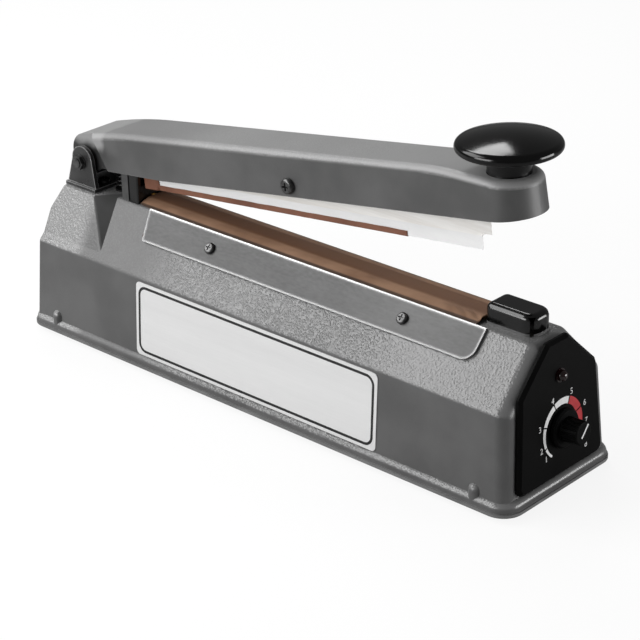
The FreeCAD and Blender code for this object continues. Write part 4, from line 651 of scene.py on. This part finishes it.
def gridFaces(rows, columns, wrapRows=False, wrapColumns=False):
    # each face joins a point to its neighbours in the next row and column; wrapping joins the last to the
    # first
    row = np.arange(rows if wrapRows else rows - 1)[:, None]
    column = np.arange(columns if wrapColumns else columns - 1)[None, :]
    nextRow, nextColumn = (row + 1) % rows, (column + 1) % columns
    corners = (row * columns + column, row * columns + nextColumn, nextRow * columns + nextColumn,
               nextRow * columns + column)
    return np.stack(corners, axis=-1).reshape(-1, 4)


def addPiece(name, points, faces, finish, body, flatMap=None, sharp=40):
    mesh = bpy.data.meshes.new(name)
    mesh.from_pydata(points.reshape(-1, 3).tolist(), [], [list(face) for face in faces])
    if flatMap is not None:
        corners = np.empty(len(mesh.loops), dtype=np.int32)
        mesh.loops.foreach_get("vertex_index", corners)
        layer = mesh.uv_layers.new(name="flatMap")
        layer.data.foreach_set("uv", flatMap.reshape(-1, 2)[corners].astype(np.float32).ravel())
    mesh.materials.append(finishes[finish])
    mesh.shade_smooth()
    mesh.set_sharp_from_angle(angle=math.radians(sharp))
    piece = bpy.data.objects.new(name, mesh)
    scene.collection.objects.link(piece)
    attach(piece, body)
    return piece


def outward(piece):
    work = bmesh.new()
    work.from_mesh(piece.data)
    bmesh.ops.remove_doubles(work, verts=work.verts, dist=1e-7)
    bmesh.ops.recalc_face_normals(work, faces=work.faces)
    work.to_mesh(piece.data)
    work.free()


def carried(name, sections, closed, finish, body, sharp=40):
    # a closed profile carried along a path: sections[i, j] is point j of the profile at station i
    stations, corners = sections.shape[:2]
    faces = gridFaces(stations, corners, closed, True).tolist()
    if not closed:
        faces += [list(range(corners))[::-1], list(range((stations - 1) * corners, stations * corners))]
    piece = addPiece(name, sections, faces, finish, body, sharp=sharp)
    outward(piece)
    return piece


def ribbon(name, middle, half, level, thick, toWorld, closed, finish, body):
    # a flat strip of print: half widths to both sides of a line in a plane, from level to level + thick
    middle = np.asarray(middle, dtype=float)
    if closed:
        ahead = np.roll(middle, -1, axis=0) - np.roll(middle, 1, axis=0)
    else:
        ahead = np.gradient(middle, axis=0)
    ahead /= np.linalg.norm(ahead, axis=1)[:, None]
    side = np.stack([-ahead[:, 1], ahead[:, 0]], axis=1) * np.broadcast_to(half, len(middle))[:, None]
    flat = np.stack([middle + side, middle + side, middle - side, middle - side], axis=1)
    heights = np.broadcast_to(np.array([level, level + thick, level + thick, level]), flat.shape[:2])
    return carried(name, toWorld(flat[..., 0], flat[..., 1], heights), closed, finish, body)


pivot = {"x": -136.5, "z": 91.5, "open": 6.9}


def armToWorld(along, across, height):
    # the raised arm's own frame at its pivot, turned up by the open angle, in metres
    turn = math.radians(pivot["open"])
    x = pivot["x"] + along * math.cos(turn) - height * math.sin(turn)
    z = pivot["z"] + along * math.sin(turn) + height * math.cos(turn)
    return np.stack(np.broadcast_arrays(x, across, z), axis=-1) * mm


panelLean = {"x": 156.5, "z": 3.0, "slope": 0.06, "face": 2.8}


def panelToWorld(across, up, out):
    # the control panel's frame on the leaning end wall: across is +Y, up runs up the wall, out leaves it
    length = math.hypot(1, panelLean["slope"])
    lean, level = panelLean["slope"] / length, 1 / length
    x = panelLean["x"] - lean * up + level * out
    z = panelLean["z"] + level * up + lean * out
    return np.stack(np.broadcast_arrays(x, across, z), axis=-1) * mm


wallLean = {"low": (-38.4, 4.5), "high": (-35.67, 50.1)}


def wallToWorld(along, up, out):
    # the front wall's frame: along is +X, up runs up the leaning wall from its foot, out leaves it towards -Y
    (lowY, lowZ), (highY, highZ) = wallLean["low"], wallLean["high"]
    length = math.hypot(highY - lowY, highZ - lowZ)
    riseY, riseZ = (highY - lowY) / length, (highZ - lowZ) / length
    y = lowY + riseY * up - riseZ * out
    z = lowZ + riseZ * up + riseY * out
    return np.stack(np.broadcast_arrays(along, y, z), axis=-1) * mm


clothCover = {"rear": -99.6, "slopeRear": -87.6, "front": 118.6, "thick": 0.2, "rows": 220, "columns": 121,
              "profile": ((0, 78.02), (4.1, 78.02), (11.75, 75.82), (22.0, 64.93)), "bow": 0.30,
              "ripple": 0.16, "waves": (0.21, 0.067, 0.53), "fold": 0.75, "foldStart": 88.0,
              "foldPitch": 0.42, "foldSlant": 1.4, "liftWay": (0.32, 0.947), "cut": 0.5}


def clothTent(plan):
    # across: the distance round the section on both sides of the bar; along: X. The section is read off the
    # profile, its corners eased, then bowed, rippled and, near the front end, pushed up in slanting folds; at
    # the rear end only the part on the ridge goes on to the end
    corner = np.array(plan["profile"])
    run = np.concatenate([[0], np.cumsum(np.linalg.norm(np.diff(corner, axis=0), axis=1))])
    across = np.linspace(-run[-1], run[-1], plan["columns"])
    away = np.abs(across)
    y = np.interp(away, run, corner[:, 0]) * np.sign(across)
    z = np.interp(away, run, corner[:, 1])
    eased = np.convolve(np.pad(z, 2, mode="edge"), np.ones(5) / 5, mode="valid")
    z = np.minimum(z, eased)
    start = np.interp(away, (run[2] - plan["cut"], run[2] + plan["cut"]), (plan["rear"], plan["slopeRear"]))
    x = start + (plan["front"] - start) * np.linspace(0, 1, plan["rows"])[:, None]
    tent = np.clip((away - run[1]) / (run[2] - run[1]), 0, 1)
    free = np.sin(np.pi * tent) ** 2
    lift = plan["bow"] * free
    first, slow, quick = plan["waves"]
    lift = lift + plan["ripple"] * free * (np.sin(x * first + 0.9 * np.sign(across)) * np.sin(x * slow + 1.1)
                                           + 0.5 * np.sin(x * quick + away * 0.8))
    near = np.clip((x - plan["foldStart"]) / (plan["front"] - plan["foldStart"]), 0, 1) ** 1.5
    slanted = np.abs(np.sin((x - away * plan["foldSlant"]) * plan["foldPitch"]))
    lift = lift + plan["fold"] * near * free * slanted
    normalY, normalZ = np.sign(across) * plan["liftWay"][0], plan["liftWay"][1]
    points = np.stack(np.broadcast_arrays(x, y + lift * normalY, z + lift * normalZ), axis=-1) * mm
    flat = np.stack(np.broadcast_arrays(x, across[None, :]), axis=-1) * mm
    cutAway = 2 * (run[-1] - run[2]) * (plan["slopeRear"] - plan["rear"]) * mm * mm
    return points, flat, 2 * run[-1] * mm, cutAway


def makeCloth(plan):
    points, flat, width, cutAway = clothTent(plan)
    faces = gridFaces(plan["rows"], plan["columns"])
    piece = addPiece("clothCover", points, faces, "brownCloth", "base", flat, sharp=70)
    shell = piece.modifiers.new("clothThickness", "SOLIDIFY")
    shell.thickness = plan["thick"] * mm
    shell.offset = -1
    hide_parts("ptfe_cloth")


springPlan = {"node": "return_spring", "joint": "push_rod_slide", "travel": 2.108}


def makeSpring(plan):
    # the spring's own shape, welded
    loose = nodes[plan["node"]].data
    points = np.empty(len(loose.vertices) * 3, dtype=np.float32)
    loose.vertices.foreach_get("co", points)
    corners = np.empty(len(loose.loops), dtype=np.int32)
    loose.loops.foreach_get("vertex_index", corners)
    points, welded = np.unique(np.round(points.reshape(-1, 3).astype(float), 7), axis=0, return_inverse=True)
    faces = welded.reshape(-1)[corners].reshape(-1, 3).tolist()
    piece = addPiece("springCoil", points, faces, "blackSteelAndShade", "base")
    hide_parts(plan["node"])
    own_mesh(piece)


sealTape = {"rear": 36.8, "front": 211.0, "tailEnd": 46.6, "tailStep": 0.6, "half": 7.0, "tailHalf": 7.9,
            "low": -12.40, "lip": 2.7, "tailTop": -1.5, "thick": 0.2, "rows": 240, "columns": 61,
            "wave": 0.10, "waves": (0.31, 0.11)}


def makeTape(plan):
    # a tape folded round the silicone strip: across is the distance round the U, along runs down the arm; its
    # edges wander a little and stand higher on the tail behind the rail
    along = np.linspace(plan["rear"], plan["front"], plan["rows"])[:, None]
    share = np.linspace(-1, 1, plan["columns"])[None, :]
    tail = 1 - np.clip((along - plan["tailEnd"] + plan["tailStep"]) / plan["tailStep"], 0, 1)
    quick, slow = plan["waves"]
    side = plan["lip"] + plan["wave"] * np.sin(along * quick) * np.sin(along * slow + 1)
    side = side * (1 - tail) + (plan["tailTop"] - plan["low"]) * tail
    half = plan["half"] * (1 - tail) + plan["tailHalf"] * tail
    distance = share * (half + side)
    y = np.clip(distance, -half, half)
    rise = np.maximum(np.abs(distance) - half, 0)
    points = armToWorld(along, y, plan["low"] + rise)
    flat = np.stack(np.broadcast_arrays(along, distance), axis=-1) * mm
    faces = gridFaces(plan["rows"], plan["columns"])
    piece = addPiece("sealTape", points, faces, "brownTape", "seal_bar", flat, sharp=60)
    shell = piece.modifiers.new("tapeThickness", "SOLIDIFY")
    shell.thickness = plan["thick"] * mm
    shell.offset = 0
    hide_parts("seal_tape")


dial = {"centre": (1.2, 29.6), "outer": 14.4, "thin": 1.0, "wide": 4.6, "lift": 0.02, "thick": 0.08,
        "angles": {"1": 234.5, "2": 205.6, "3": 161.0, "4": 114.7, "5": 68.2, "6": 21.8, "7": -9.0},
        "gap": 3.0, "redFrom": 5, "numberSize": 4.2,
        "numbers": {"1": (-11.4, 18.6), "2": (-14.5, 23.7), "3": (-15.3, 34.6), "4": (-5.7, 44.8),
                    "5": (8.0, 44.7), "6": (17.5, 35.5), "7": (18.5, 26.2), "8": (17.8, 14.6)}}


def dialBand(name, begin, end, plan, finish):
    # an arc of print that widens from the first mark to the last: outer edge at one radius, inner edge moving
    # in
    angles = np.radians(np.linspace(begin, end, 40))
    first, last = plan["angles"]["1"], plan["angles"]["7"]
    width = plan["thin"] + (plan["wide"] - plan["thin"]) * (first - np.degrees(angles)) / (first - last)
    radius = plan["outer"] - width / 2
    line = np.array(plan["centre"]) + radius[:, None] * np.stack([np.cos(angles), np.sin(angles)], axis=1)
    return ribbon(name, line, width / 2, panelLean["face"] + plan["lift"], plan["thick"], panelToWorld, False,
                  finish, "base")


def printNumber(label, spot, plan):
    curve = bpy.data.curves.new("number" + label, "FONT")
    curve.body = label
    curve.size = plan["numberSize"]
    curve.align_x, curve.align_y = "CENTER", "CENTER"
    curve.extrude = plan["thick"] / 2
    maker = bpy.data.objects.new("numberMaker", curve)
    mesh = bpy.data.meshes.new_from_object(maker)
    spots = np.empty(len(mesh.vertices) * 3)
    mesh.vertices.foreach_get("co", spots)
    spots = spots.reshape(-1, 3)
    level = panelLean["face"] + plan["lift"] + plan["thick"] / 2
    placed = panelToWorld(spot[0] + spots[:, 0], spot[1] + spots[:, 1], level + spots[:, 2])
    faces = [list(face.vertices) for face in mesh.polygons]
    bpy.data.objects.remove(maker)
    bpy.data.meshes.remove(mesh)
    piece = addPiece("dialNumber" + label, placed, faces, "whitePrint", "base", sharp=30)
    outward(piece)


def makeDial(plan):
    marks = list(plan["angles"].items())
    for (one, begin), (_, end) in zip(marks, marks[1:]):
        finish = "redPrint" if int(one) >= plan["redFrom"] else "whitePrint"
        dialBand("dialBand" + one, begin - plan["gap"] / 2, end + plan["gap"] / 2, plan, finish)
    for label, spot in plan["numbers"].items():
        printNumber(label, spot, plan)


labelBorder = {"left": -75.8, "right": 79.0, "low": 7.1, "high": 41.5, "corner": 4.4, "half": 0.68,
               "lift": 0.41, "thick": 0.05}


def roundedLoop(left, right, low, high, radius, steps=10):
    # a rectangle with quarter circles at its corners, walked round once
    turn = np.linspace(0, np.pi / 2, steps)
    centres = np.array([(right - radius, high - radius), (left + radius, high - radius),
                        (left + radius, low + radius), (right - radius, low + radius)])
    angles = turn[None, :] + np.arange(4)[:, None] * np.pi / 2
    circle = np.stack([np.cos(angles), np.sin(angles)], axis=-1) * radius
    return (centres[:, None, :] + circle).reshape(-1, 2)


def makeLabelBorder(plan):
    loop = roundedLoop(plan["left"], plan["right"], plan["low"], plan["high"], plan["corner"])
    ribbon("labelBorder", loop, plan["half"], plan["lift"], plan["thick"], wallToWorld, True, "blackPrint",
           "base")


makeCloth(clothCover)
makeSpring(springPlan)
makeTape(sealTape)
print("cloth, spring and tape made")
makeDial(dial)
makeLabelBorder(labelBorder)
print("dial and label border printed")
